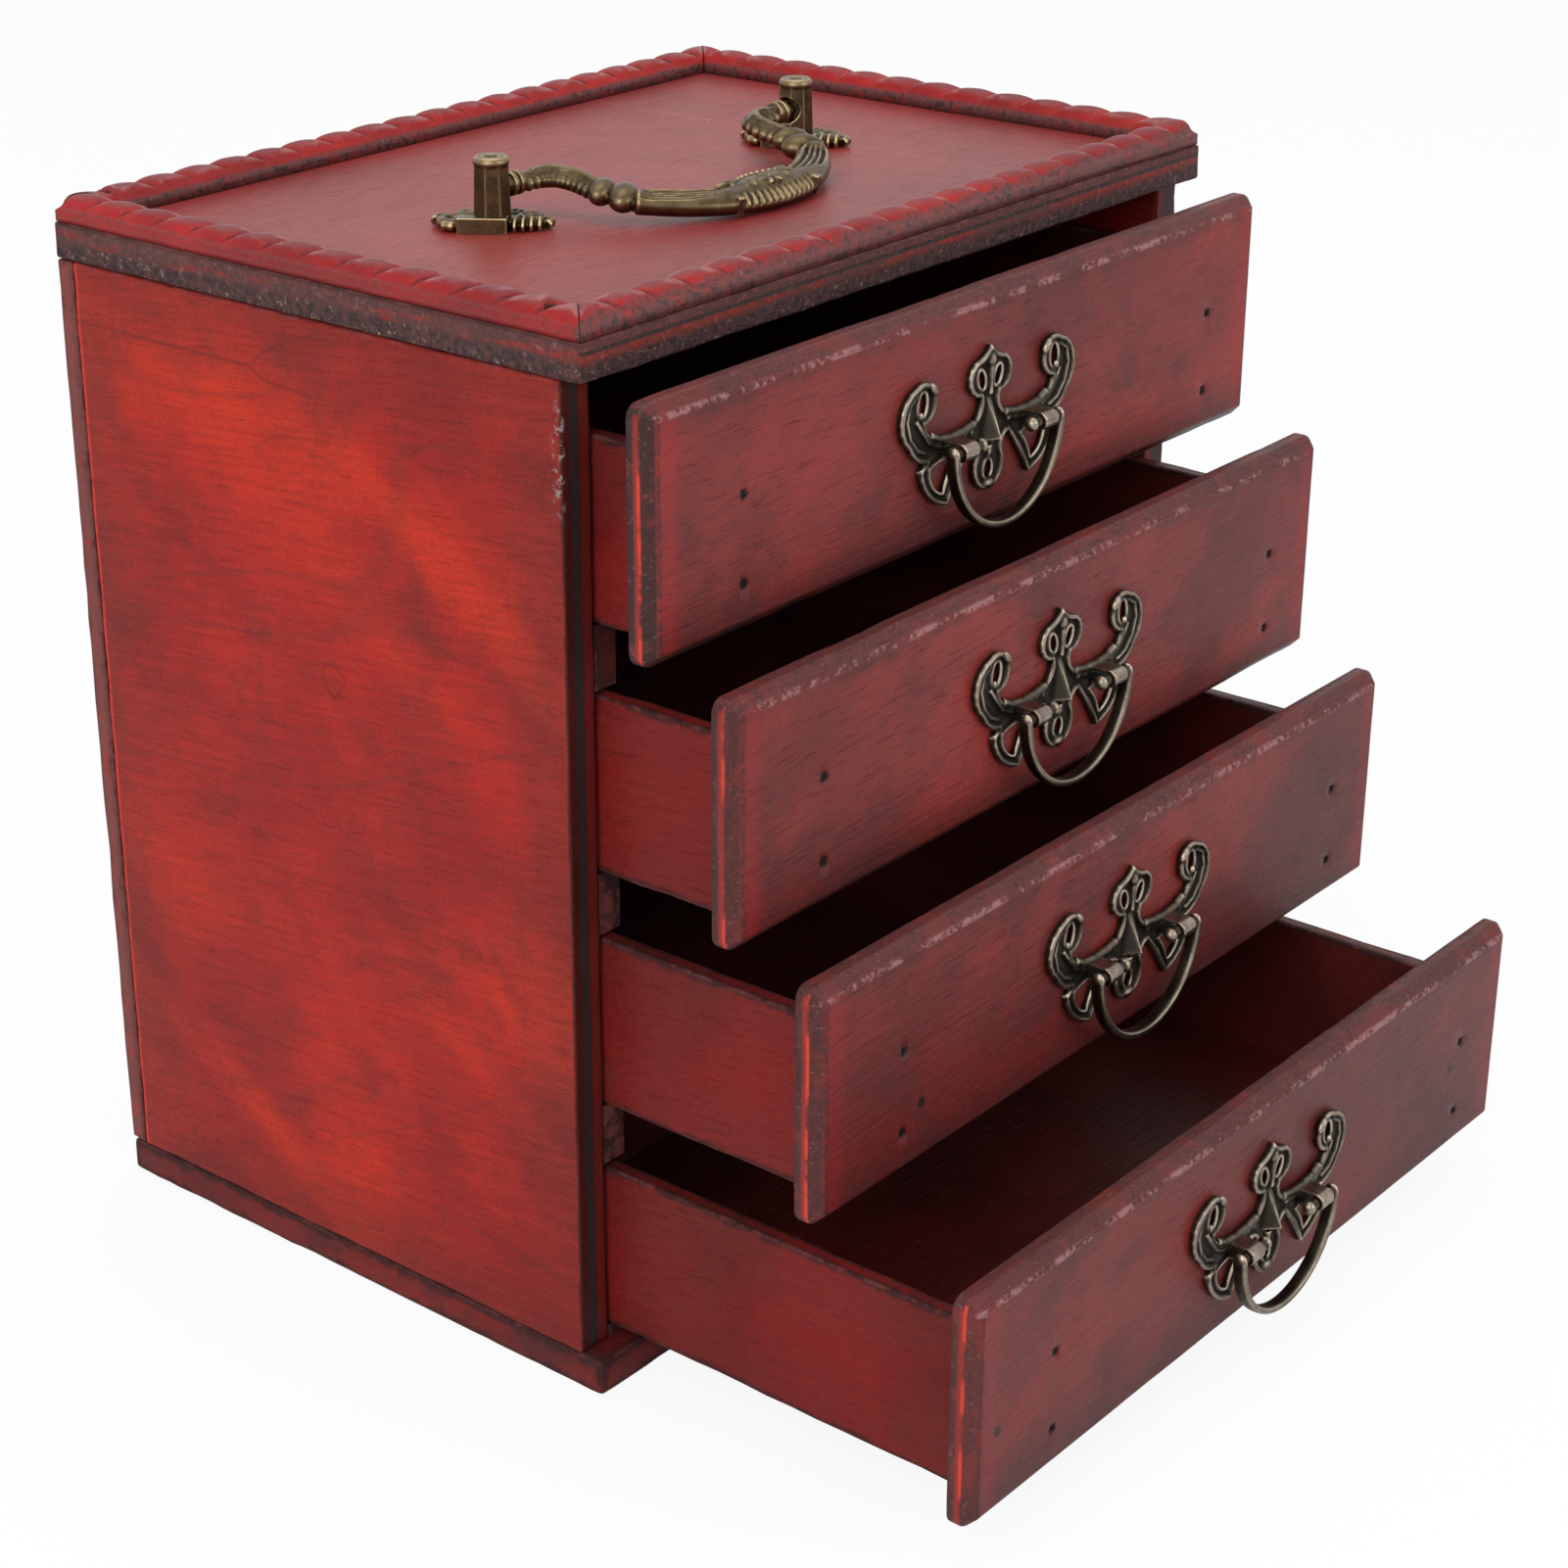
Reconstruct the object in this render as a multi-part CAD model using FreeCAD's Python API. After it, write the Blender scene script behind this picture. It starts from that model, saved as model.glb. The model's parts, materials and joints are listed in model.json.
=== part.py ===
import FreeCAD, Part
import math
import os
from FreeCAD import Vector

# Jewelry box with four drawers, in millimetres.
# The origin is the centre of the base board's underside, X runs to the right as seen
# from the front, the drawers open towards -Y and Z is up.

# Case
case_width = 170.0
case_depth = 120.0
base_thickness = 7.0
top_thickness = 6.4
side_thickness = 7.0
back_thickness = 4.0
opening_height = 171.0
panel_setback = 4.4
board_corner_radius = 1.6

# Rope moulding on the top board
moulding_width = 6.6
moulding_height = 4.7
moulding_fillet = 1.9
moulding_inset = 0.5
crown_flat = 2.8
crown_shoulder = 2.9
lobe_pitch = 8.5
lobe_radius = 3.2
lobe_angle = 44.0
lobe_sides = 16
moulding_pin_length = 8.5
moulding_pin_sink = 1.4
moulding_pin_from_end = 9.0

# Drawers, counted from the top
drawer_count = 4
drawer_openings = (12.8, 28.9, 45.3, 75.8)
front_gap = 0.9
front_thickness = 4.6
front_bevel = 2.1
front_corner_radius = 2.3
front_corner_flats = 3
box_lift = 1.6
box_rim_drop = 9.2
box_side_clearance = 0.5
box_back_clearance = 1.6
box_wall = 3.2
box_floor = 2.4
box_rebate = 1.6
brad_wire_width = 1.25
brad_wire_thickness = 1.0
brad_length = 7.0
brad_sink = 0.4
brad_from_left = 22.0
brad_from_right = 16.0
brad_heights = (2.0, -12.5)

# Runners under the drawer boxes
runner_width = 5.0
runner_clearance = 0.3
runner_rim_clearance = 0.6
runner_front_setback = 0.4

# Pull plates and bails on the drawer fronts
pull_below_centre = 3.1
sheet_thickness = 1.0
rim_height = 1.9
rim_width = 1.15
plate_unit = 1.0
plate_flat_turn = 30.0
eye_sides = 8
nose_height = 3.8
pad_width = 3.2
pad_height = 4.0
bail_pivot_height = 4.6
bail_radius = 14.95
bail_thickness = 1.6
bail_depth = 3.1
bail_bevel = 0.44
bail_flats = 14
bail_pin_radius = 0.95
bail_stop_radius = 1.45
bail_stop_from = 5.8
bail_stop_to = 8.2
bail_stop_bevel = 0.5
bail_stop_sides = 8
clip_centre = 11.35
clip_width = 5.0
clip_strap = 0.7
clip_prong_width = 2.0
clip_prong_bend = 3.5
clip_fold_sides = 12
pin_clearance = 0.05
slot_clearance = 0.1
overcut = 1.0

# Carry handle on the top board
handle_offset = -1.1
handle_from_front = 58.7
handle_spacing = 81.0
handle_pivot_height = 6.5
handle_rest_gap = 0.1
post_bottom_radius = 3.45
post_top_radius = 3.0
post_height = 12.0
post_dome_height = 1.0
post_dimple_radius = 1.0
post_dimple_depth = 0.5
post_flutes = 8
post_flute_depth = 0.35
post_recess_radius = 2.4
post_recess_depth = 0.9
post_bore_depth = 1.6
post_seat_clearance = 0.15
rosette_thickness = 1.8
rosette_turn = (55.0, 65.0)
rosette_disc_radius = 4.7
rosette_sides = 12
rosette_scrolls = (
    (-6.6, -1.6, 2.7, 0.4), (-8.4, 1.6, 2.2, 0), (5.6, 1.9, 2.9, 0.2), (9.0, -0.6, 1.7, 0), (0, 4.4, 2.3, 0),
)
rosette_web = (8.4, 2.2, 0.5)
rosette_bar = (3.2, -5.4, -2.6, 0.9)
rosette_rib_count = 4
rosette_rib_width = 0.85
rosette_rib_pitch = 1.25
rosette_rib_start = 4.1
rosette_rib_reach = 4.9
rosette_rib_step = 0.35
rosette_rib_rise = 0.5
rosette_eye_radius = 1.2
rosette_eye_depth = 0.8
screw_radius = 1.45
screw_head_radius = 2.8
screw_head_height = 2.0
screw_head_bevel = 0.6
screw_tip_cover = 0.8
screw_tip_room = 0.2
screw_clearance = 0.05
grip_thickness = 4.3
grip_width = 9.0
grip_depth = 31.0
grip_arc_radius = 34.0
grip_sides = 12
grip_stations = ((10, 8.5), (20, 7.5), (29, 7.0), (37, 6.7), (44, 6.2), (51, 4.6))
arm_sides = 8
handle_pin_radius = 1.5
handle_collar_radius = 2.3
handle_collar_gap = 0.4
handle_collar_width = 1.0
handle_collar_pitch = 1.6
handle_pin_reach = 1.4
handle_collar_sides = 12
arm_from_post = ((7.8, 0, 2.0), (11.0, 0, 2.0), (14.2, 0.9, 2.1), (16.3, 2.9, 2.3), (17.2, 6.2, 2.3))
arm_to_grip = ((-1.1, 8.4, 1.9), (0.3, 5.3, 2.0))
bead_radius = 2.6
bead_bevel = 1.0
bead_places = ((-0.6, 4.3, 20.0, 8.4), (-1.4, 0.5, 30.0, 9.6))
oval_length = 20.0
oval_width = 9.6
oval_forward = 26.4
oval_rise = 0.8
oval_bevel = 0.65
oval_sides = 20

# Positions worked out from the sizes above
half_width = case_width / 2
front_y = -case_depth / 2
back_y = case_depth / 2
panel_front_y = front_y + panel_setback
panel_back_y = back_y - back_thickness
opening_top = base_thickness + opening_height
board_top = opening_top + top_thickness
inner_half = half_width - side_thickness
front_height = (opening_height - (drawer_count + 1) * front_gap) / drawer_count
box_half = inner_half - box_side_clearance
box_height = front_height - box_lift - box_rim_drop
box_depth = panel_back_y - panel_front_y - box_back_clearance
handle_y = front_y + handle_from_front
pivot_z = board_top + handle_pivot_height
clip_gap = bail_pin_radius + pin_clearance


def save(name, shape):
    """Write one sub-part."""
    shape.exportStep("parts/" + name + ".step")


def block(x0, x1, y0, y1, z0, z1):
    """A square-edged board between two corners."""
    return Part.makeBox(x1 - x0, y1 - y0, z1 - z0, Vector(x0, y0, z0))


def rod(radius, start, end):
    """A round rod from one point to another."""
    along = end - start
    return Part.makeCylinder(radius, along.Length, start, along)


def ring(middle, across, up, sides):
    """Points round an oval, given its middle and its two half axes."""
    angles = [2 * math.pi * i / sides for i in range(sides)]
    return [middle + across * math.cos(a) + up * math.sin(a) for a in angles]


def skin(rings):
    """A flat-sided solid through rings that hold equally many points."""
    faces = [Part.Face(Part.makePolygon(r + r[:1])) for r in (rings[0], rings[-1])]
    for near, far in zip(rings, rings[1:]):
        for i in range(len(near)):
            faces.append(Part.Face(Part.makePolygon([near[i - 1], near[i], far[i], near[i - 1]])))
            faces.append(Part.Face(Part.makePolygon([near[i - 1], far[i], far[i - 1], near[i - 1]])))
    solid = Part.Solid(Part.makeShell(faces))
    solid = solid if solid.Volume > 0 else solid.reversed()
    return solid.removeSplitter()


def sided_rod(radius, start, end, sides, bevel=0):
    """A flat-sided rod from one point to another, with bevelled ends where a bevel is given."""
    length = (end - start).Length
    along = (end - start) * (1 / length)
    up = Vector(1, 0, 0) if abs(along.z) > 0.5 else Vector(0, 0, 1)
    across = along.cross(up)
    stations = [(0, radius), (length, radius)]
    if bevel:
        stations = [(0, radius - bevel), (bevel, radius), (length - bevel, radius), (length, radius - bevel)]
    return skin([ring(start + along * s, across * r, up * r, sides) for s, r in stations])


def fuse(shapes):
    """One solid from several that touch."""
    return shapes[0].multiFuse(shapes[1:]).removeSplitter()


def outline(edges):
    """A flat face inside a closed run of edges."""
    return Part.Face(Part.Wire(edges))


def arc(start, middle, end):
    """An arc through three points (across, up) of the XZ plane."""
    points = [Vector(p[0], 0, p[1]) for p in (start, middle, end)]
    return Part.Arc(*points).toShape()


def line(start, end):
    """A straight edge between two points (across, up) of the XZ plane."""
    return Part.LineSegment(Vector(start[0], 0, start[1]), Vector(end[0], 0, end[1])).toShape()


def polygon(points):
    """A flat face in the XZ plane with straight edges."""
    corners = list(zip(points, points[1:] + points[:1]))
    return outline([line(a, b) for a, b in corners])


def chords(edges):
    """Corner points along arcs, each cut into chords of no more than plate_flat_turn degrees."""
    points = []
    for edge in edges:
        turn = math.degrees(edge.LastParameter - edge.FirstParameter)
        points += edge.discretize(math.ceil(turn / plate_flat_turn) + 1)[:-1]
    return points + points[:1]


def rounded_rectangle(width, height, radius):
    """A rounded rectangle in the XZ plane about the origin."""
    w, h, r = width / 2, height / 2, radius
    k = r * (1 - math.sqrt(0.5))
    edges = []
    for sx, sz in ((1, 1), (-1, 1), (-1, -1), (1, -1)):
        a, b = (sx * w, sz * (h - r)), (sx * (w - r), sz * h)
        middle = (sx * (w - k), sz * (h - k))
        if sx * sz < 0:
            a, b = b, a
        edges.append(arc(a, middle, b))
        following = (-sx * (w - r), sz * h) if sx * sz > 0 else (sx * w, -sz * (h - r))
        edges.append(line(b, following))
    return outline(edges)


def lay_flat(face):
    """Turn a face of the XZ plane down into the XY plane."""
    return face.rotated(Vector(0, 0, 0), Vector(1, 0, 0), -90)


def mirrored_pair(shape):
    """A shape and its mirror image across the YZ plane."""
    return [shape, shape.mirror(Vector(0, 0, 0), Vector(1, 0, 0))]


# Case boards

def level_board(thickness, bottom):
    """A base or top board with rounded upright corners."""
    face = lay_flat(rounded_rectangle(case_width, case_depth, board_corner_radius))
    return face.extrude(Vector(0, 0, thickness)).translated(Vector(0, 0, bottom))


def side_panel(side):
    """The side panel at the left (-1) or right (+1)."""
    x0, x1 = sorted((side * half_width, side * inner_half))
    return block(x0, x1, panel_front_y, panel_back_y, base_thickness, opening_top)


def back_panel():
    """The thin board that closes the case behind the side panels."""
    return block(-half_width, half_width, panel_back_y, back_y, base_thickness, opening_top)


def handle_post_x(side):
    """Where a handle post stands."""
    return handle_offset + side * handle_spacing / 2


def top_board():
    """The top board with the holes for the handle screws and the moulding pins."""
    board = level_board(top_thickness, opening_top)
    holes = [
        rod(screw_radius + screw_clearance, Vector(handle_post_x(side), handle_y, opening_top),
            Vector(handle_post_x(side), handle_y, board_top))
        for side in (-1, 1)
    ]
    return board.cut(holes + moulding_pins(pin_clearance, moulding_height))


# Rope moulding

def moulding_strip(length, flip):
    """A strip along X with its outer face at -Y, mitred at both ends.

    A flat fillet carries a row of slanting half-round lobes, and a crown with two sloping
    flanks trims them all to a rounded section.
    """
    w = moulding_width
    half = length / 2
    bar = block(-half, half, -w / 2, w / 2, 0, moulding_fillet)
    count = int(length / lobe_pitch + 0.5)
    lean = math.radians(lobe_angle)
    way = Vector(math.cos(lean) * (1 if flip else -1), math.sin(lean), 0)
    reach = way * (w / 2 / math.sin(lean))
    height = Vector(0, 0, moulding_height - lobe_radius)
    lobes = []
    for i in range(count + 1):
        middle = Vector(i * length / count - half, 0, 0) + height
        lobes.append(sided_rod(lobe_radius, middle - reach * 2, middle + reach * 2, lobe_sides))
    row = lobes[0].multiFuse(lobes[1:])
    inner = w / 2 - moulding_inset
    top = crown_flat / 2
    profile = [
        (-inner, moulding_fillet), (inner, moulding_fillet), (inner, crown_shoulder),
        (top, moulding_height), (-top, moulding_height), (-inner, crown_shoulder),
    ]
    crown = skin([[Vector(x, y, z) for y, z in profile] for x in (-half, half)])
    strip = bar.fuse(row.common(crown))
    corners = [(-half, -w / 2), (half, -w / 2), (half - w, w / 2), (w - half, w / 2)]
    mitre = lay_flat(polygon(corners)).extrude(Vector(0, 0, moulding_height))
    return strip.common(mitre).removeSplitter()


def moulding(name):
    """One of the four strips in its place on the top board."""
    along_x = name in ("front", "back")
    length, reach = (case_width, case_depth) if along_x else (case_depth, case_width)
    strip = moulding_strip(length, not along_x)
    strip.translate(Vector(0, (moulding_width - reach) / 2, board_top))
    turn = {"front": 0, "right": 90, "back": 180, "left": 270}[name]
    return strip.rotated(Vector(0, 0, 0), Vector(0, 0, 1), turn)


def moulding_pins(clearance=0, mouth=0):
    """Eight wire brads, two through each strip, or their wider holes that run on up to the mouth."""
    inset = moulding_width / 2
    top = board_top + moulding_height - moulding_pin_sink
    places = []
    for sx in (-1, 1):
        for sy in (-1, 1):
            places.append((sx * (half_width - moulding_pin_from_end), sy * (back_y - inset)))
            places.append((sx * (half_width - inset), sy * (back_y - moulding_pin_from_end)))
    w = brad_wire_width / 2 + clearance
    t = brad_wire_thickness / 2 + clearance
    low = top - moulding_pin_length - clearance
    return [block(x - w, x + w, y - t, y + t, low, top + mouth) for x, y in places]


# Drawers

def front_bottom(k):
    """Height of the lower edge of a drawer front."""
    return base_thickness + front_gap + (drawer_count - k) * (front_height + front_gap)


def pull_z(k):
    """Height of the bail's hinge line."""
    return front_bottom(k) + front_height / 2 - pull_below_centre


def clip_slots(k, y0, y1):
    """Slots for the clip prongs through a wall between two depths."""
    half = clip_prong_width / 2 + slot_clearance
    tall = clip_gap + clip_strap + slot_clearance
    z = pull_z(k)
    return [
        block(side * clip_centre - half, side * clip_centre + half, y0, y1, z - tall, z + tall)
        for side in (-1, 1)
    ]


def brads(k, clearance=0, mouth=0):
    """Four wire brads through the front into the box front, or their wider holes out to the mouth."""
    start = panel_front_y - front_thickness + brad_sink
    end = start + brad_length + clearance
    w = brad_wire_width / 2 + clearance
    t = brad_wire_thickness / 2 + clearance
    middle = front_bottom(k) + front_height / 2
    wires = []
    for x in (-half_width + brad_from_left, half_width - brad_from_right):
        for height in brad_heights:
            z = middle + height
            wires.append(block(x - t, x + t, start - mouth, end, z - w, z + w))
    return wires


def front_ring(inset, y):
    """The outline of a drawer front at one depth, drawn in by the bevel's inset."""
    radius = front_corner_radius - inset
    points = []
    for quarter, (sx, sz) in enumerate(((1, 1), (-1, 1), (-1, -1), (1, -1))):
        x = sx * (half_width - front_corner_radius)
        z = sz * (front_height / 2 - front_corner_radius)
        for i in range(front_corner_flats + 1):
            angle = math.pi / 2 * (quarter + i / front_corner_flats)
            points.append(Vector(x + radius * math.cos(angle), y, z + radius * math.sin(angle)))
    return points


def drawer_front(k):
    """The full-width front, bevelled all round."""
    face_y = panel_front_y - front_thickness
    slab = skin([
        front_ring(0, panel_front_y),
        front_ring(0, face_y + front_bevel),
        front_ring(front_bevel, face_y),
    ])
    slab.translate(Vector(0, 0, front_bottom(k) + front_height / 2))
    cuts = clip_slots(k, face_y - overcut, panel_front_y + overcut)
    return slab.cut(cuts + brads(k, pin_clearance, front_thickness))


def box_end(k, y0, y1):
    """The front or back wall of a drawer box, standing on the floor panel."""
    half = box_half - box_wall
    low = front_bottom(k) + box_lift
    return block(-half, half, y0, y1, low + box_floor, low + box_height)


def box_front(k):
    """The inner front wall, with the clip slots and the brad holes."""
    wall = box_end(k, panel_front_y, panel_front_y + box_wall)
    cuts = clip_slots(k, panel_front_y - overcut, panel_front_y + box_wall + overcut)
    return wall.cut(cuts + brads(k, pin_clearance, front_thickness))


def box_back(k):
    """The back wall of a drawer box."""
    return box_end(k, panel_front_y + box_depth - box_wall, panel_front_y + box_depth)


def box_side(k, side):
    """A side wall with a rebate for the floor panel."""
    low = front_bottom(k) + box_lift
    inner = box_half - box_wall
    seat = inner + box_rebate
    profile = [
        (seat, low), (box_half, low), (box_half, low + box_height), (inner, low + box_height),
        (inner, low + box_floor), (seat, low + box_floor),
    ]
    wall = polygon(profile).extrude(Vector(0, box_depth, 0))
    wall.translate(Vector(0, panel_front_y, 0))
    return wall if side > 0 else wall.mirror(Vector(0, 0, 0), Vector(1, 0, 0))


def box_bottom(k):
    """The floor panel, let into the sides and under the two end walls."""
    half = box_half - box_wall + box_rebate
    low = front_bottom(k) + box_lift
    return block(-half, half, panel_front_y, panel_front_y + box_depth, low, low + box_floor)


def runner_pair(k):
    """The strips that carry a drawer box, on the inner faces of the side panels."""
    top = front_bottom(k) + box_lift - runner_clearance
    if k < drawer_count:
        low = front_bottom(k + 1) + box_lift + box_height + runner_rim_clearance
    else:
        low = base_thickness
    start = panel_front_y + runner_front_setback
    strip = block(inner_half - runner_width, inner_half, start, panel_back_y, low, top)
    return Part.makeCompound(mirrored_pair(strip))


# Pulls, drawn about the middle of the hinge line, with the drawer's face at y = 0

def plate_arc(*points):
    """An arc of the plate's drawing, through three points in its own units."""
    return arc(*[(x * plate_unit, z * plate_unit) for x, z in points])


def plate_outline():
    """The plate's closed edge: the right half's arcs from the tip down, then their mirror images back up."""
    right = [
        ((0, 14.8), (1.5, 13.5), (2.9, 12.9)),
        ((2.9, 12.9), (6.0, 9.6), (2.7, 6.3)),
        ((2.7, 6.3), (3.2, 3.7), (5.6, 2.4)),
        ((5.6, 2.4), (11.0, 1.9), (15.6, 2.9)),
        ((15.6, 2.9), (17.3, 3.8), (18.2, 5.3)),
        ((18.2, 5.3), (15.4, 7.5), (15.6, 10.6)),
        ((15.6, 10.6), (17.6, 12.4), (20.3, 12.1)),
        ((20.3, 12.1), (24.6, 7.6), (22.4, 2.0)),
        ((22.4, 2.0), (20.2, -0.4), (17.4, -1.4)),
        ((17.4, -1.4), (18.4, -1.8), (19.3, -2.6)),
        ((19.3, -2.6), (17.4, -6.8), (13.0, -9.1)),
        ((13.0, -9.1), (9.8, -5.2), (5.4, -1.3)),
        ((5.4, -1.3), (3.9, -2.3), (3.7, -3.7)),
        ((3.7, -3.7), (3.7, -8.0), (0, -10.3)),
    ]
    left = [tuple((-x, z) for x, z in reversed(points)) for points in reversed(right)]
    return Part.makePolygon(chords([plate_arc(*points) for points in right + left]))


def plate_eye(x, z, radius):
    """A round eye of the plate."""
    middle = Vector(x, 0, z) * plate_unit
    corners = ring(middle, Vector(radius * plate_unit, 0, 0), Vector(0, 0, radius * plate_unit), eye_sides)
    return Part.Face(Part.makePolygon(corners + corners[:1]))


def plate_openings():
    """The eyes of the scrolls, the finial and the lower lobe, and the arches beside it."""
    arch = Part.Face(Part.makePolygon(chords([
        plate_arc((9.2, -2.4), (12.6, -1.9), (16.2, -2.6)),
        plate_arc((16.2, -2.6), (15.6, -5.2), (13.2, -7.2)),
        plate_arc((13.2, -7.2), (11.4, -4.6), (9.2, -2.4)),
    ])))
    openings = [plate_eye(0, -6.4, 1.5)]
    for half in (arch, plate_eye(18.9, 8.4, 1.6), plate_eye(2.5, 9.1, 1.2)):
        openings += mirrored_pair(half)
    return openings


def pyramid(base, peak, height):
    """A flat-sided boss: a base of points (across, up) and one peak that stands out from them."""
    corners = [Vector(x, 0, z) for x, z in base]
    tip = Vector(peak[0], -height, peak[1])
    faces = [Part.Face(Part.makePolygon(corners + corners[:1]))]
    for a, b in zip(corners, corners[1:] + corners[:1]):
        faces.append(Part.Face(Part.makePolygon([a, b, tip, a])))
    solid = Part.Solid(Part.Shell(faces))
    return solid if solid.Volume > 0 else solid.reversed()


def pull_plate():
    """The swan-neck plate: a pierced sheet with a raised rim and a nose in the middle."""
    edge = plate_outline()
    rim = Part.Face([edge, edge.makeOffset2D(-rim_width, 2)])
    sheet = Part.Face(edge).cut(plate_openings()).extrude(Vector(0, -sheet_thickness, 0))
    raised = rim.extrude(Vector(0, -rim_height, 0))
    base = [(0, 6.4), (2.0, 1.2), (3.5, -0.9), (0, -1.8), (-3.5, -0.9), (-2.0, 1.2)]
    nose = pyramid([(x * plate_unit, z * plate_unit) for x, z in base], (0, 0.2 * plate_unit), nose_height)
    plate = sheet.fuse([raised, nose])
    pads, seats, slots = [], [], []
    clear = clip_width / 2 + slot_clearance
    half = clip_prong_width / 2 + slot_clearance
    tall = clip_gap + clip_strap + slot_clearance
    broad = pad_width / 2
    high = pad_height / 2
    for x in (-clip_centre, clip_centre):
        pads.append(block(x - broad, x + broad, -sheet_thickness, 0, -high, high))
        seats.append(block(x - clear, x + clear, -2 * rim_height, -sheet_thickness, -high, high))
        slots.append(block(x - half, x + half, -rim_height, overcut, -tall, tall))
    return plate.fuse(pads).cut(seats + slots).removeSplitter()


def pull_clip(side):
    """A strap folded round the bail's pin, its two prongs clinched behind the box front."""
    back = front_thickness + box_wall
    inner, outer = clip_gap, clip_gap + clip_strap
    bend = outer + clip_prong_bend
    wide, narrow = clip_width / 2, clip_prong_width / 2
    pivot_y = -bail_pivot_height
    fold = sided_rod(outer, Vector(-wide, pivot_y, 0), Vector(wide, pivot_y, 0), clip_fold_sides)
    leaves = block(-wide, wide, pivot_y, -sheet_thickness, -outer, outer)
    prongs = block(-narrow, narrow, pivot_y, back, -outer, outer)
    hooks = block(-narrow, narrow, back, back + clip_strap, -bend, bend)
    hollow = block(-clip_width, clip_width, pivot_y, back + clip_strap + overcut, -inner, inner)
    pin_way = rod(inner, Vector(-clip_width, pivot_y, 0), Vector(clip_width, pivot_y, 0))
    clip = fold.fuse([leaves, prongs, hooks]).cut([hollow, pin_way])
    return clip.translated(Vector(side * clip_centre, 0, 0)).removeSplitter()


def bail():
    """A drop handle: half a flat ring with bevelled edges, two eyes, and pins that point inwards."""
    half = bail_thickness / 2
    deep = bail_depth / 2
    upper = [(half, deep - 2 * bail_bevel), (half - bail_bevel, deep)]
    right = [(x, -y) for x, y in reversed(upper)] + upper
    corners = right + [(-x, -y) for x, y in right]
    rings = []
    for i in range(bail_flats + 1):
        angle = math.pi * i / bail_flats
        out = Vector(math.cos(angle), 0, -math.sin(angle))
        rings.append([out * (bail_radius + x) + Vector(0, y, 0) for x, y in corners])
    pieces = [skin(rings)]
    for way in (-1, 1):
        outer = Vector(way * (bail_radius + half), 0, 0)
        inner = Vector(way * (bail_radius - half), 0, 0)
        stop = Vector(way * bail_stop_from, 0, 0)
        end = Vector(way * bail_stop_to, 0, 0)
        pieces.append(sided_rod(deep, outer, inner, bail_stop_sides))
        pieces.append(rod(bail_pin_radius, inner, end))
        pieces.append(sided_rod(bail_stop_radius, stop, end, bail_stop_sides, bail_stop_bevel))
    return fuse(pieces).translated(Vector(0, -bail_pivot_height, 0))


def place_pull(shape, k):
    """Move a pull piece onto its drawer front."""
    return shape.translated(Vector(0, panel_front_y - front_thickness, pull_z(k)))


# Carry handle, drawn flat about its hinge line, the grip towards -Y

def grip_place(angle, width):
    """The middle of the grip's section at an angle from straight forward, and the way out from it."""
    turn = math.radians(angle)
    out = Vector(math.sin(turn), -math.cos(turn), 0)
    return Vector(0, grip_arc_radius - grip_depth, 0) + out * (grip_arc_radius - width / 2), out


def handle_grip():
    """The crescent: oval sections that grow from the beads to the middle."""
    left = [(-angle, width) for angle, width in reversed(grip_stations)]
    rings = []
    for angle, width in left + [(0, grip_width)] + list(grip_stations):
        middle, out = grip_place(angle, width)
        rings.append(ring(middle, out * (width / 2), Vector(0, 0, grip_thickness / 2), grip_sides))
    return skin(rings)


def grip_end(inward, back):
    """A point near the end of the grip, given across and back from it."""
    return grip_place(*grip_stations[-1])[0] + Vector(inward, back, 0)


def limb(stations):
    """A bent rod of varying thickness through (place, radius) stations in the level plane."""
    rings = []
    last = len(stations) - 1
    for i, (place, radius) in enumerate(stations):
        heading = stations[min(i + 1, last)][0] - stations[max(i - 1, 0)][0]
        across = Vector(-heading.y, heading.x, 0) * (radius / heading.Length)
        rings.append(ring(place, across, Vector(0, 0, radius), arm_sides))
    return skin(rings)


def handle_arm():
    """The right arm: a pin with two collars, then a limb that bends forward to the beads."""
    face = handle_spacing / 2 - post_bottom_radius - handle_collar_gap
    pin_start = Vector(face - handle_collar_width, 0, 0)
    pin_end = Vector(handle_spacing / 2 + handle_pin_reach, 0, 0)
    stations = [(Vector(handle_spacing / 2 - x, -y, 0), radius) for x, y, radius in arm_from_post]
    stations.insert(0, (Vector(face - handle_collar_width / 2, 0, 0), arm_from_post[0][2]))
    stations += [(grip_end(x, y), radius) for x, y, radius in arm_to_grip]
    pieces = [limb(stations), rod(handle_pin_radius, pin_start, pin_end)]
    for end in (face, face - handle_collar_pitch):
        ends = [Vector(end - handle_collar_width, 0, 0), Vector(end, 0, 0)]
        pieces.append(sided_rod(handle_collar_radius, *ends, handle_collar_sides))
    return pieces


def handle_beads():
    """The two short rolls across the arm's end."""
    pieces = []
    for inward, back, turn, length in bead_places:
        way = Vector(math.cos(math.radians(turn)), -math.sin(math.radians(turn)), 0) * (length / 2)
        middle = grip_end(inward, back)
        pieces.append(sided_rod(bead_radius, middle - way, middle + way, arm_sides, bead_bevel))
    return pieces


def handle_oval():
    """The oval boss at the middle of the grip, on its upper face."""
    rings = []
    for height, shrink in ((0, 0), (grip_thickness / 2, 0), (grip_thickness / 2 + oval_rise, oval_bevel)):
        across = Vector(oval_length / 2 - shrink, 0, 0)
        forward = Vector(0, oval_width / 2 - shrink, 0)
        rings.append(ring(Vector(0, -oval_forward, height), across, forward, oval_sides))
    return skin(rings)


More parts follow.
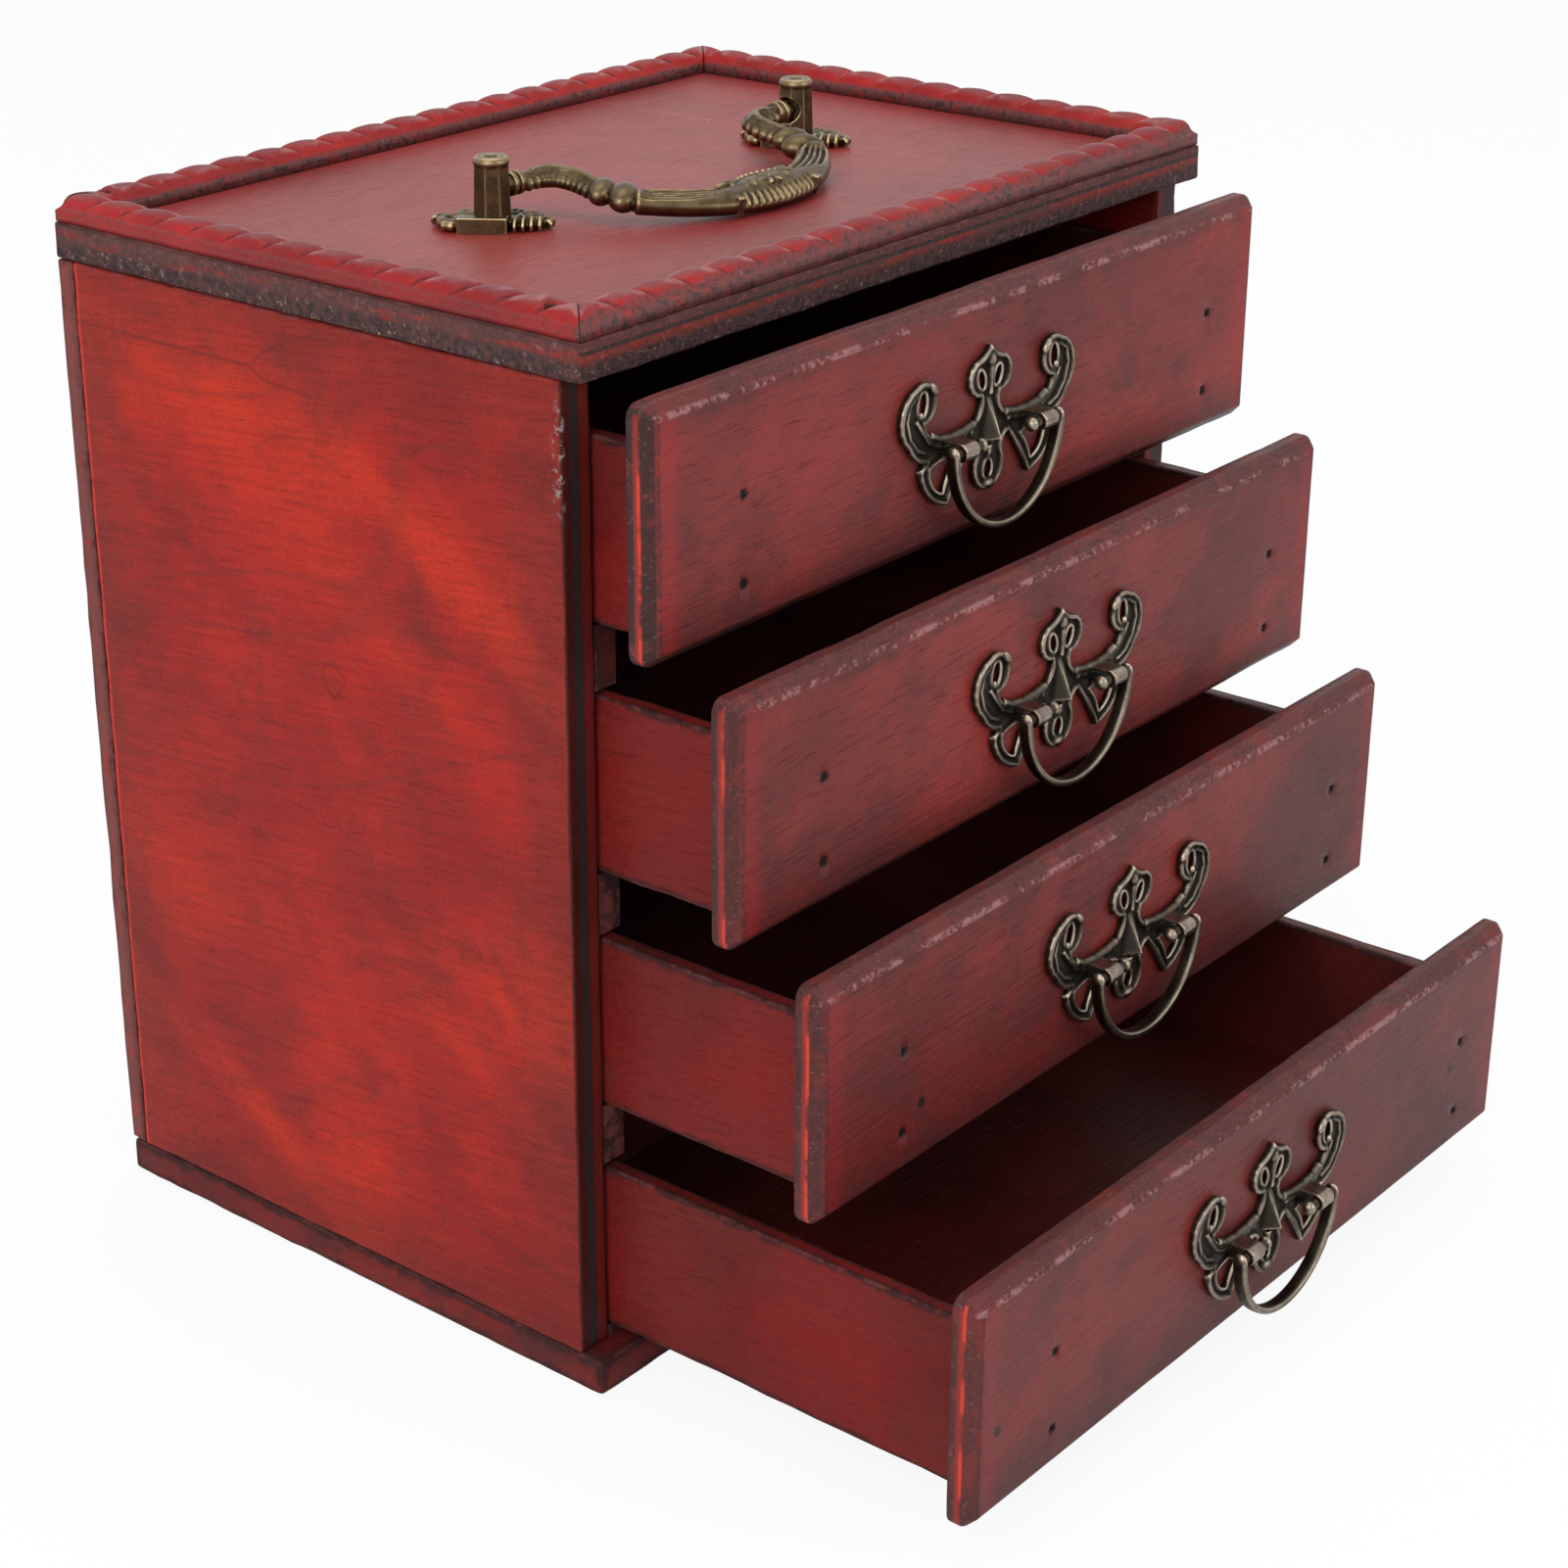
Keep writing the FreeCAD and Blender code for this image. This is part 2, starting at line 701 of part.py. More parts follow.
def handle_tilt():
    """How far, in degrees, the handle drops forward until the oval grip rests on the board."""
    forward = grip_depth - grip_width / 2
    low, high = 0.0, math.pi / 4
    for _ in range(40):
        tilt = (low + high) / 2
        below = math.hypot(grip_width / 2 * math.sin(tilt), grip_thickness / 2 * math.cos(tilt))
        if forward * math.sin(tilt) + below < handle_pivot_height - handle_rest_gap:
            low = tilt
        else:
            high = tilt
    return math.degrees(low)


def carry_handle():
    """The whole casting, folded down onto the board."""
    arm = fuse(handle_arm() + handle_beads())
    casting = fuse([handle_grip(), handle_oval()] + mirrored_pair(arm))
    casting.rotate(Vector(0, 0, 0), Vector(1, 0, 0), handle_tilt())
    return casting.translated(Vector(handle_offset, handle_y, pivot_z))


def handle_post(side):
    """A tapered, fluted post with a dimpled dome and a recessed cross hole."""
    shoulder = post_height - post_dome_height
    rings = []
    for radius, flute, z in (
        (post_bottom_radius, post_flute_depth, rosette_thickness),
        (post_top_radius, post_flute_depth, shoulder),
        (post_dimple_radius, 0, post_height),
        (post_dimple_radius / 4, 0, post_height - post_dimple_depth),
    ):
        points = ring(Vector(0, 0, z), Vector(1, 0, 0), Vector(0, 1, 0), 2 * post_flutes)
        for i, point in enumerate(points):
            reach = radius - flute * (i % 2)
            point.x *= reach
            point.y *= reach
        rings.append(points)
    inward = Vector(-side, 0, 0)
    pivot = Vector(0, 0, handle_pivot_height)
    mouth = pivot + inward * (post_bottom_radius + overcut)
    recess = pivot + inward * (post_top_radius - post_recess_depth)
    tip = screw_tip_height() + screw_tip_room
    post = skin(rings).cut([
        rod(handle_pin_radius + pin_clearance, pivot - inward * post_bore_depth, mouth),
        sided_rod(post_recess_radius, recess, mouth, rosette_sides),
        rod(screw_radius + screw_clearance, Vector(0, 0, 0), Vector(0, 0, tip)),
    ])
    return post.translated(Vector(handle_post_x(side), handle_y, board_top))


def upright(x, y, radius, low, high, sides):
    """A flat-sided boss or hole, standing between two heights."""
    return sided_rod(radius, Vector(x, y, low), Vector(x, y, high), sides)


def rosette(side):
    """A cast plate under a post: a bar, scrolls and stepped ribs, pierced for the screw."""
    top = rosette_thickness
    reach, web, drop = rosette_web
    bar, bar_low, bar_high, bar_rise = rosette_bar
    body = [
        block(-bar, bar, bar_low, bar_high, 0, top + bar_rise),
        upright(0, 0, rosette_disc_radius, 0, top, 2 * post_flutes),
        block(-reach, reach, -web, web, 0, top - drop),
    ]
    for x, y, radius, rise in rosette_scrolls:
        body.append(upright(x, y, radius, 0, top + rise, rosette_sides))
    for i in range(rosette_rib_count):
        x = rosette_rib_start + i * rosette_rib_pitch
        low = -rosette_rib_reach + i * rosette_rib_step
        body.append(block(x, x + rosette_rib_width, low, 0, 0, top + rosette_rib_rise))
    eye_x, eye_y = rosette_scrolls[0][:2]
    seat = (post_bottom_radius + post_seat_clearance) / math.cos(math.pi / (2 * post_flutes))
    plate = fuse(body).cut([
        rod(screw_radius + screw_clearance, Vector(0, 0, -overcut), Vector(0, 0, 2 * top)),
        upright(eye_x, eye_y, rosette_eye_radius, top - rosette_eye_depth, 2 * top, eye_sides),
        upright(0, 0, seat, top, 2 * top, 2 * post_flutes),
    ])
    plate.rotate(Vector(0, 0, 0), Vector(0, 0, 1), -rosette_turn[0] if side < 0 else -rosette_turn[1])
    return plate.translated(Vector(handle_post_x(side), handle_y, board_top))


def screw_tip_height():
    """How far a handle screw reaches above the top board."""
    return handle_pivot_height - handle_pin_radius - screw_tip_cover


def handle_screws():
    """Two pan-head screws from under the top board up into the posts."""
    screws = []
    for side in (-1, 1):
        seat = Vector(handle_post_x(side), handle_y, opening_top)
        shank = rod(screw_radius, seat, seat + Vector(0, 0, top_thickness + screw_tip_height()))
        low = seat - Vector(0, 0, screw_head_height)
        screws.append(shank.fuse(sided_rod(screw_head_radius, seat, low, rosette_sides, screw_head_bevel)))
    return Part.makeCompound(screws)


def build_case():
    """Everything that stays with the case."""
    save("base_board", level_board(base_thickness, 0))
    save("top_board", top_board())
    save("left_side_panel", side_panel(-1))
    save("right_side_panel", side_panel(1))
    save("back_panel", back_panel())
    for name in ("front", "back", "left", "right"):
        save("rope_moulding_" + name, moulding(name).cut(moulding_pins(pin_clearance, moulding_height)))
    save("moulding_pins", Part.makeCompound(moulding_pins()))
    for k in range(1, drawer_count + 1):
        save("runners_%d" % k, runner_pair(k))


def build_handle():
    """The carry handle and what holds it."""
    for side, name in ((-1, "left"), (1, "right")):
        save("handle_rosette_" + name, rosette(side))
        save("handle_post_" + name, handle_post(side))
    save("handle_screws", handle_screws())
    save("carry_handle", carry_handle())


def build_drawers():
    """The four drawers, pulled out as far as drawer_openings says."""
    plate = pull_plate()
    clips = [pull_clip(-1), pull_clip(1)]
    swing = bail()
    for k in range(1, drawer_count + 1):
        name = "drawer_%d_" % k
        pieces = {
            "front": drawer_front(k),
            "box_front": box_front(k),
            "left_side": box_side(k, -1),
            "right_side": box_side(k, 1),
            "back": box_back(k),
            "bottom": box_bottom(k),
            "brads": Part.makeCompound(brads(k)),
            "pull_plate": place_pull(plate, k),
            "pull_clips": Part.makeCompound([place_pull(clip, k) for clip in clips]),
            "bail": place_pull(swing, k),
        }
        for piece, shape in pieces.items():
            save(name + piece, shape.translated(Vector(0, -drawer_openings[k - 1], 0)))


os.makedirs("parts", exist_ok=True)
build_case()
build_handle()
build_drawers()
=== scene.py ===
import json
import math

import bmesh
import bpy
from mathutils import Matrix, Quaternion, Vector, noise

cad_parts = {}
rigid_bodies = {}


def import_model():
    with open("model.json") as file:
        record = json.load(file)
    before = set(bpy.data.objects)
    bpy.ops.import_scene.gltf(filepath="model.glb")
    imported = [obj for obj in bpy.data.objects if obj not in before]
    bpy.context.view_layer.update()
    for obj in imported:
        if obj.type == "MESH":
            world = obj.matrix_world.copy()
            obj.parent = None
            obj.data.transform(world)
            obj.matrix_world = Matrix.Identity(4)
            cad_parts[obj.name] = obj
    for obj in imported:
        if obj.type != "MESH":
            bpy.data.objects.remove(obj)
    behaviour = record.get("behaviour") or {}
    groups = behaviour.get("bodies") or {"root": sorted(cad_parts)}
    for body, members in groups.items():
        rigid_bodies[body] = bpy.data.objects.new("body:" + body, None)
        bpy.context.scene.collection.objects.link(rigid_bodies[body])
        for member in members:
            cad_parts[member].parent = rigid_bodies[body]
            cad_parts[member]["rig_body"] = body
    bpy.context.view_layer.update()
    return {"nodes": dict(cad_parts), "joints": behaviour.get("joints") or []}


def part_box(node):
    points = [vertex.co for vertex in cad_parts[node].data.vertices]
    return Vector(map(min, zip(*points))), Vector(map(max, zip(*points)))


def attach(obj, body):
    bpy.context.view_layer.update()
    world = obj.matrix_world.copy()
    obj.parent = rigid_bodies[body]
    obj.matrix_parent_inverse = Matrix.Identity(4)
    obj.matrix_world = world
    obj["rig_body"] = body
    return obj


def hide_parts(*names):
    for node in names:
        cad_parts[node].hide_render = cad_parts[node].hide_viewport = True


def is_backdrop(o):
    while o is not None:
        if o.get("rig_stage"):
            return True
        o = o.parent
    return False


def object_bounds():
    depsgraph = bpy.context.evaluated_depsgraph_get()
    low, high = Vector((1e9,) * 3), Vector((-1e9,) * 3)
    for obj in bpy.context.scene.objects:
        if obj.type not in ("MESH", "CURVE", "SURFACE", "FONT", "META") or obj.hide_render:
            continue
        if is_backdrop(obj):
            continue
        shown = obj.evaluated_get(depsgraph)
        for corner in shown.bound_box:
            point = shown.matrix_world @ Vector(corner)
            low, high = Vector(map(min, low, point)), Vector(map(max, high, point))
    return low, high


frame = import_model()


# Case boards
# Thin boards of light hardwood, butted and glued, wiped with a red stain that takes unevenly,
# then scorched dark along every edge and rubbed back at the corners.  The side panels and the
# drawers' left sides also carry a broad painted shade towards their edges.

MM = 0.001
STAIN_DEEP = (0.235, 0.012, 0.010)
STAIN_BRIGHT = (0.345, 0.016, 0.010)
STAIN_WARM = (0.470, 0.027, 0.009)
STAIN_DARK = (0.120, 0.018, 0.015)
SCORCH = (0.030, 0.011, 0.011)
RUBBED = (0.26, 0.070, 0.065)
WORN_GREY = (0.145, 0.043, 0.039)
FIBRE_ALONG = {"X": (45, 1100, 1100), "Y": (1100, 45, 1100), "Z": (1100, 1100, 45)}
BOARD_EASE = 0.7 * MM
BOARD_CELL = 5 * MM
BOARD_WAVER = 0.16 * MM
WAVER_BAND = 1.6 * MM
CUT_MERGE = 0.01 * MM


def feed(tree, socket, value):
    """Gives an input a plain value, a colour without its alpha, or another node's output."""
    value = getattr(value, "socket", value)
    if isinstance(value, bpy.types.NodeSocket):
        tree.links.new(value, socket)
    elif socket.type == "RGBA":
        socket.default_value = (*value, 1.0)
    else:
        socket.default_value = value


def node(tree, kind, inputs=None, **settings):
    """One shader node with its inputs fed."""
    made = tree.nodes.new(kind)
    for key, value in settings.items():
        setattr(made, key, value)
    for socket, value in (inputs or {}).items():
        feed(tree, made.inputs[socket], value)
    return made


def vector_node(tree, operation, *values):
    """The result of one sum on vectors."""
    return node(tree, "ShaderNodeVectorMath", dict(enumerate(values)), operation=operation).outputs[0]


def blend_colour(tree, factor, first, second, kind="MIX"):
    """One colour laid over another."""
    inputs = {0: factor, 6: first, 7: second}
    return node(tree, "ShaderNodeMix", inputs, data_type="RGBA", blend_type=kind).outputs[2]


class Value:
    """A number that a shader works out at each point; each sum on it adds a node to its tree."""

    def __init__(self, tree, socket):
        self.tree, self.socket = tree, socket

    def result(self, operation, *values, clamp=False):
        inputs = dict(enumerate(values))
        made = node(self.tree, "ShaderNodeMath", inputs, operation=operation, use_clamp=clamp)
        return Value(self.tree, made.outputs[0])

    def __add__(self, other):
        return self.result("ADD", self, other)

    def __sub__(self, other):
        return self.result("SUBTRACT", self, other)

    def __rsub__(self, other):
        return self.result("SUBTRACT", other, self)

    def __mul__(self, other):
        return self.result("MULTIPLY", self, other)

    def __truediv__(self, other):
        return self.result("DIVIDE", self, other)

    def __abs__(self):
        return self.result("ABSOLUTE", self)

    def root(self):
        return self.result("SQRT", self)

    def least(self, other):
        return self.result("MINIMUM", self, other)

    def most(self, other):
        return self.result("MAXIMUM", self, other)

    def clamped(self):
        return self.result("ADD", self, 0.0, clamp=True)

    def ramp(self, low, high, to_low=0.0, to_high=1.0):
        """The value brought from one range to another, with soft ends."""
        inputs = {"Value": self, "From Min": low, "From Max": high, "To Min": to_low, "To Max": to_high}
        made = node(self.tree, "ShaderNodeMapRange", inputs, interpolation_type="SMOOTHSTEP")
        return Value(self.tree, made.outputs["Result"])

    def fade(self, low, high, full=1.0):
        """In full up to low, and gone from high on."""
        return self.ramp(low, high, full, 0.0)

    def near(self, centre, half, soft=0.5):
        """1 where the value lies within half of a centre, with soft ends."""
        return abs(self - centre).fade(half * (1 - soft), half * (1 + soft))


def split(tree, vector):
    """The three numbers of a vector."""
    return [Value(tree, part) for part in node(tree, "ShaderNodeSeparateXYZ", {0: vector}).outputs]


class Paint:
    """A shader tree with the place on its piece, and one colour that others are laid over."""

    def __init__(self, tree, colour=None):
        self.tree = tree
        self.shader = tree.nodes.get("Principled BSDF")
        self.colour = colour or self.shader.inputs["Base Color"]
        self.place = node(tree, "ShaderNodeTexCoord").outputs["Object"]
        self.x, self.y, self.z = split(tree, self.place)

    def feed(self, name, value):
        """Feeds one input of the shader."""
        feed(self.tree, self.shader.inputs[name], value)

    def cloud(self, scale, detail=3.0, roughness=0.55, distortion=0.0, at=None):
        """Soft noise from 0 to 1."""
        inputs = {"Vector": at or self.place, "Scale": scale, "Detail": detail, "Roughness": roughness,
                  "Distortion": distortion}
        return Value(self.tree, node(self.tree, "ShaderNodeTexNoise", inputs).outputs[0])

    def turned(self, angles):
        """The place, turned by three angles."""
        inputs = {"Vector": self.place, "Rotation": angles}
        return node(self.tree, "ShaderNodeVectorRotate", inputs, rotation_type="EULER_XYZ").outputs[0]

    def relief(self):
        """How far each point stands out of its surroundings, as mark_relief wrote it."""
        mark = node(self.tree, "ShaderNodeAttribute", attribute_name="relief")
        return Value(self.tree, mark.outputs["Fac"])

    def lay(self, mask, colour, kind="MIX"):
        """Lays one more colour over the rest."""
        below = self.colour.links[0].from_socket
        feed(self.tree, self.colour, blend_colour(self.tree, mask, below, colour, kind))

    def bump(self, height, depth, strength):
        """Roughens the shader's normal, over any bump that it has."""
        normal = self.shader.inputs["Normal"]
        made = node(self.tree, "ShaderNodeBump", {"Height": height, "Distance": depth, "Strength": strength})
        if normal.is_linked:
            feed(self.tree, made.inputs["Normal"], normal.links[0].from_socket)
        feed(self.tree, normal, made.outputs["Normal"])


def new_paint(name):
    """The paint of a new material."""
    material = bpy.data.materials.new(name)
    material.use_nodes = True
    paint = Paint(material.node_tree)
    paint.material = material
    return paint


def new_group(name, inputs, outputs):
    """An empty shader group, the values it is given by name, and its end node."""
    group = bpy.data.node_groups.new(name, "ShaderNodeTree")
    for socket, (kind, value) in inputs.items():
        made = group.interface.new_socket(name=socket, in_out="INPUT", socket_type="NodeSocket" + kind)
        made.default_value = (*value, 1.0) if kind == "Color" else value
    for socket, kind in outputs.items():
        group.interface.new_socket(name=socket, in_out="OUTPUT", socket_type="NodeSocket" + kind)
    given = group.nodes.new("NodeGroupInput").outputs
    return group, {name: Value(group, given[name]) for name in inputs}, group.nodes.new("NodeGroupOutput").inputs


def edge_distance_group():
    """How far a point on a board is from the board's nearest edge."""
    corners = {"Low": ("Vector", (0, 0, 0)), "High": ("Vector", (1, 1, 1))}
    group, given, result = new_group("Edge distance", corners, {"Distance": "Float"})
    place = node(group, "ShaderNodeTexCoord").outputs["Object"]
    from_low = vector_node(group, "SUBTRACT", place, given["Low"])
    to_high = vector_node(group, "SUBTRACT", given["High"], place)
    x, y, z = split(group, vector_node(group, "MINIMUM", from_low, to_high))
    feed(group, result["Distance"], x.least(y).most(x.most(y).least(z)))
    return group


def stain_group():
    """Red stain on wood: clouds, warm drifts, soft smudges, faint fibres, scorched, rubbed edges, and a broad painted
    shade that darkens the board towards its edges.
    """
    numbers = {"Edge shade": 0.0, "Cloud scale": 30.0, "Warmth": 0.0, "Smudge": 0.4, "Fibre strength": 0.055,
               "Speckle": 0.7, "Growth lines": 0.0, "Pores": 0.10, "Distance": 1.0, "Scorch width": 0.002, "Rub": 0.5}
    inputs = {"Offset": ("Vector", (0, 0, 0)), "Fibre": ("Vector", (40, 900, 900)),
              "Deep": ("Color", STAIN_DEEP), "Bright": ("Color", STAIN_BRIGHT), "Warm": ("Color", STAIN_WARM),
              "Dark": ("Color", STAIN_DARK), "Scorch": ("Color", SCORCH), "Rubbed": ("Color", RUBBED)}
    inputs.update({name: ("Float", value) for name, value in numbers.items()})
    outputs = {"Color": "Color", "Roughness": "Float", "Height": "Float"}
    group, take, result = new_group("Red stain", inputs, outputs)
    distance, dark = take["Distance"], take["Dark"]
    paint = Paint(group, result["Color"])
    paint.place = vector_node(group, "ADD", paint.place, take["Offset"])
    slanted = paint.turned((0.08, 0.03, 0.03))
    along = vector_node(group, "MULTIPLY", slanted, take["Fibre"])

    clouds = paint.cloud(take["Cloud scale"], 3.0, 0.5, 0.4).ramp(0.34, 0.66)
    feed(group, result["Color"], blend_colour(group, clouds, take["Deep"], take["Bright"]))
    drift = vector_node(group, "MULTIPLY", paint.turned((-0.62, 0.35, 0.2)), (16, 13, 42))
    drift = paint.cloud(1.0, 2.5, 0.5, 0.3, drift).ramp(0.44, 0.68)
    paint.lay(drift * take["Warmth"], take["Warm"])
    mottle = paint.cloud(170.0, 5.0, 0.65).ramp(0.46, 0.72)
    smudges = mottle * 0.45 + paint.cloud(44.0, 6.0, 0.68, 0.5).ramp(0.46, 0.74)
    smudges = (smudges * take["Smudge"]).clamped()
    paint.lay(smudges, dark)
    # Painted shade: a broad soft darkening along the board's edges.
    painted_shade_band = (paint.cloud(55.0, 4.0, 0.6) * -0.022 + distance).fade(-0.011, 0.008)
    paint.lay(painted_shade_band * take["Edge shade"], dark)

    streaks = paint.cloud(1.0, 4.0, 0.62, at=along).ramp(0.30, 0.72, -1.0, 1.0)
    speckle = (paint.cloud(1300.0, 3.0, 0.65) - 0.5) * take["Speckle"]
    shade = speckle + (streaks * take["Fibre strength"] + 1.0)
    tone = node(group, "ShaderNodeCombineColor", {0: shade, 1: shade, 2: shade}).outputs[0]
    paint.lay(1.0, tone, "MULTIPLY")
    ringed = vector_node(group, "MULTIPLY", along, (0.018, 0.018, 0.018))
    ringed = vector_node(group, "MULTIPLY_ADD", slanted, (8, 8, 8), ringed)
    rings = abs(paint.cloud(1.0, 1.0, 0.4, 0.4, ringed) - 0.5).fade(0.001, 0.010)
    paint.lay(rings * take["Growth lines"], dark)
    pores = paint.cloud(2.6, 2.0, 0.5, at=along).ramp(0.62, 0.72)
    paint.lay(pores * take["Pores"], dark)

    reach = take["Scorch width"] * paint.cloud(160.0, 5.0, 0.7).ramp(0.3, 0.7, 0.5, 1.6)
    burnt = (1.0 - distance / reach).clamped().ramp(0.0, 0.7)
    paint.lay(burnt * 0.9, take["Scorch"])
    bare = paint.cloud(260.0, 5.0, 0.65).ramp(0.45, 0.60) * distance.fade(0.25 * MM, 0.9 * MM)
    paint.lay(bare * take["Rub"], take["Rubbed"])
    feed(group, result["Roughness"], smudges * 0.10 + burnt * 0.20 + 0.40)
    feed(group, result["Height"], streaks * 0.11 - pores * 0.5 + paint.cloud(420.0, 4.0, 0.6) * 0.45)
    return group


EDGE_DISTANCE = edge_distance_group()
RED_STAIN = stain_group()


def stained_wood(name, low, high, fibre="Z", relief=0.18 * MM, shine=0.3, **values):
    """The stain on one board, told where the board's edges are."""
    paint = new_paint(name)
    edge = node(paint.tree, "ShaderNodeGroup", node_tree=EDGE_DISTANCE)
    feed(paint.tree, edge.inputs["Low"], low)
    feed(paint.tree, edge.inputs["High"], high)
    stain = node(paint.tree, "ShaderNodeGroup", node_tree=RED_STAIN)
    values.update(distance=edge.outputs["Distance"], fibre=FIBRE_ALONG[fibre],
                  offset=(low[0] * 7.3, low[1] * 5.1, low[2] * 3.7))
    for socket, value in values.items():
        feed(paint.tree, stain.inputs[socket.replace("_", " ").capitalize()], value)
    paint.feed("Specular IOR Level", shine)
    paint.feed("Base Color", stain.outputs["Color"])
    paint.feed("Roughness", stain.outputs["Roughness"])
    paint.bump(stain.outputs["Height"], relief, 1.0)
    return paint


def radius_from(first, second, spot, ragged):
    """Distance from a spot in one plane, made uneven by a noise."""
    a, b = first - spot[0], second - spot[1]
    return (a * a + b * b).root() + ragged


def repaint(piece, material):
    """Gives a mesh one material in place of all others."""
    piece.materials.clear()
    piece.materials.append(material)


def add_piece(name, mesh, material, nodes):
    """Shows a mesh in place of CAD nodes, on their body."""
    repaint(mesh, material)
    mesh.shade_smooth()
    piece = bpy.data.objects.new(name, mesh)
    bpy.context.scene.collection.objects.link(piece)
    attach(piece, frame["nodes"][nodes[0]]["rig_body"])
    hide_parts(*nodes)
    return piece


def to_mesh(name, bm):
    """Turns a finished bmesh, normals outwards, into a mesh."""
    bmesh.ops.recalc_face_normals(bm, faces=bm.faces)
    mesh = bpy.data.meshes.new(name)
    bm.to_mesh(mesh)
    bm.free()
    return mesh


def solid_box(low, high):
    """A box between two corners."""
    bm = bmesh.new()
    bmesh.ops.create_cube(bm, size=1.0)
    bmesh.ops.scale(bm, vec=high - low, verts=bm.verts)
    bmesh.ops.translate(bm, vec=(low + high) / 2, verts=bm.verts)
    return bm


def bevel(bm, edges, width, segments):
    """Planes edges off, or rounds them in several segments."""
    bmesh.ops.bevel(bm, geom=edges, offset=width, offset_type="OFFSET", segments=segments, profile=0.5,
                    affect="EDGES", material=-1)


def cut_across(bm, axis, place):
    """Cuts all faces of a board at one place along an axis."""
    normal = Vector([1.0 if i == axis else 0.0 for i in range(3)])
    bmesh.ops.bisect_plane(bm, geom=bm.verts[:] + bm.edges[:] + bm.faces[:], dist=CUT_MERGE,
                           plane_co=normal * place, plane_no=normal)


def slice_up(bm, cell):
    """Cuts a board across all three ways, so that its edges can waver."""
    for axis in range(3):
        low = min(v.co[axis] for v in bm.verts)
        high = max(v.co[axis] for v in bm.verts)
        cuts = int((high - low) / cell)
        for i in range(1, cuts):
            cut_across(bm, axis, low + (high - low) * i / cuts)


def waver(bm, low, high, depth):
    """Rubs the edges of a board in by uneven amounts."""
    middle = (low + high) / 2
    for v in bm.verts:
        near = sorted((min(v.co[i] - low[i], high[i] - v.co[i]), i) for i in range(3))
        if near[1][0] > WAVER_BAND:
            continue
        amount = 0.5 + noise.noise(v.co * 140.0) + 0.5 * noise.noise(v.co * 420.0)
        for distance, axis in near[:2]:
            way = -1.0 if v.co[axis] > middle[axis] else 1.0
            v.co[axis] += way * depth * max(0.0, amount) * (1 - distance / WAVER_BAND)


def add_board(node_name, slot, fibre, ease=BOARD_EASE, cell=BOARD_CELL, depth=BOARD_WAVER, shrink=None, **values):
    """One CAD board, redrawn with eased, unevenly rubbed edges and its own piece of wood."""
    low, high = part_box(node_name)
    if shrink:
        low, high = low + shrink, high - shrink
    paint = stained_wood(node_name + "_stain", low, high, fibre, **values)
    bm = solid_box(low, high)
    bevel(bm, bm.edges[:], ease, 3)
    slice_up(bm, cell)
    waver(bm, low, high, depth)
    piece = add_piece(node_name + "_board", to_mesh(node_name, bm), paint.material, [node_name])
    piece.modifiers.new("Even shading", "WEIGHTED_NORMAL")
    return paint


for side, way in (("left", 1), ("right", -1)):
    paint = add_board(side + "_side_panel", "case_wood", "Y", cell=4 * MM, shine=0.12, scorch_width=0.4 * MM,
                      smudge=0.55, warmth=0.75, growth_lines=0.26, rub=0.3, edge_shade=0.55, fibre_strength=0.11,
                      pores=0.22)
    low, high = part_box(side + "_side_panel")
    ragged = paint.cloud(620.0, 4.0, 0.7)
    paint.lay(paint.y.near(high.y - 0.8 * MM, 0.35 * MM) * ragged.ramp(0.3, 0.5), (0.50, 0.03, 0.02))
    # Painted shade: the front edge, set back behind the drawer fronts, is painted dark; the plies' dark grey and red
    # bands are laid over it.
    front = paint.y.fade(low.y + 0.15 * MM, low.y + 0.6 * MM)
    paint.lay(front * 0.95, (0.050, 0.010, 0.009))
    outer = low.x if way > 0 else high.x
    for ply, half, colour in ((3.1, 0.9, (0.030, 0.022, 0.022)), (5.2, 1.0, (0.130, 0.014, 0.012))):
        paint.lay(front * paint.x.near(outer + way * ply * MM, half * MM), colour)
    if side == "left":
        knot = radius_from(paint.y, paint.z, (-3.1 * MM, 117.2 * MM), paint.cloud(240.0) * (5.0 * MM))
        for ring, half, soft, share in ((5.2, 0.5, 0.9, 0.45), (2.6, 0.9, 0.8, 0.35)):
            paint.lay(knot.near(ring * MM, half * MM, soft) * share, (0.13, 0.012, 0.010))
        behind = (12.0 * MM - paint.y).most(0.0)
        arch = abs(paint.z - (behind * 0.19 + 167.8 * MM)) - behind.root() * 0.0424
        arch = arch.near(0.0, 0.32 * MM, 0.9) * behind.fade(9 * MM, 20 * MM, 0.5)
        paint.lay(arch, (0.11, 0.012, 0.010))
        corner = paint.y.fade(low.y + 1.0 * MM, low.y + 2.2 * MM) * paint.x.fade(low.x + 0.5 * MM, low.x + 1.2 * MM)
        chips = corner * paint.z.near(166 * MM, 8 * MM) * ragged.ramp(0.50, 0.58)
        paint.lay(chips, (0.24, 0.185, 0.18))

paint = add_board("back_panel", "case_wood", "X", shine=0.2, scorch_width=1.6 * MM, smudge=0.5, warmth=0.3,
                  growth_lines=0.25)
low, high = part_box("back_panel")
worn = (high.x - abs(paint.x)).fade(0.1 * MM, 0.5 * MM) * paint.cloud(300.0, 5.0, 0.7).ramp(0.3, 0.5)
paint.lay(worn * 0.85, WORN_GREY)

add_board("base_board", "case_wood", "Y", ease=1.3 * MM, cell=3 * MM, shine=0.15, scorch_width=2.2 * MM, rub=0.4,
          warmth=0.15, smudge=0.9, deep=(0.110, 0.012, 0.011), bright=(0.190, 0.015, 0.012),
          dark=(0.045, 0.016, 0.015))

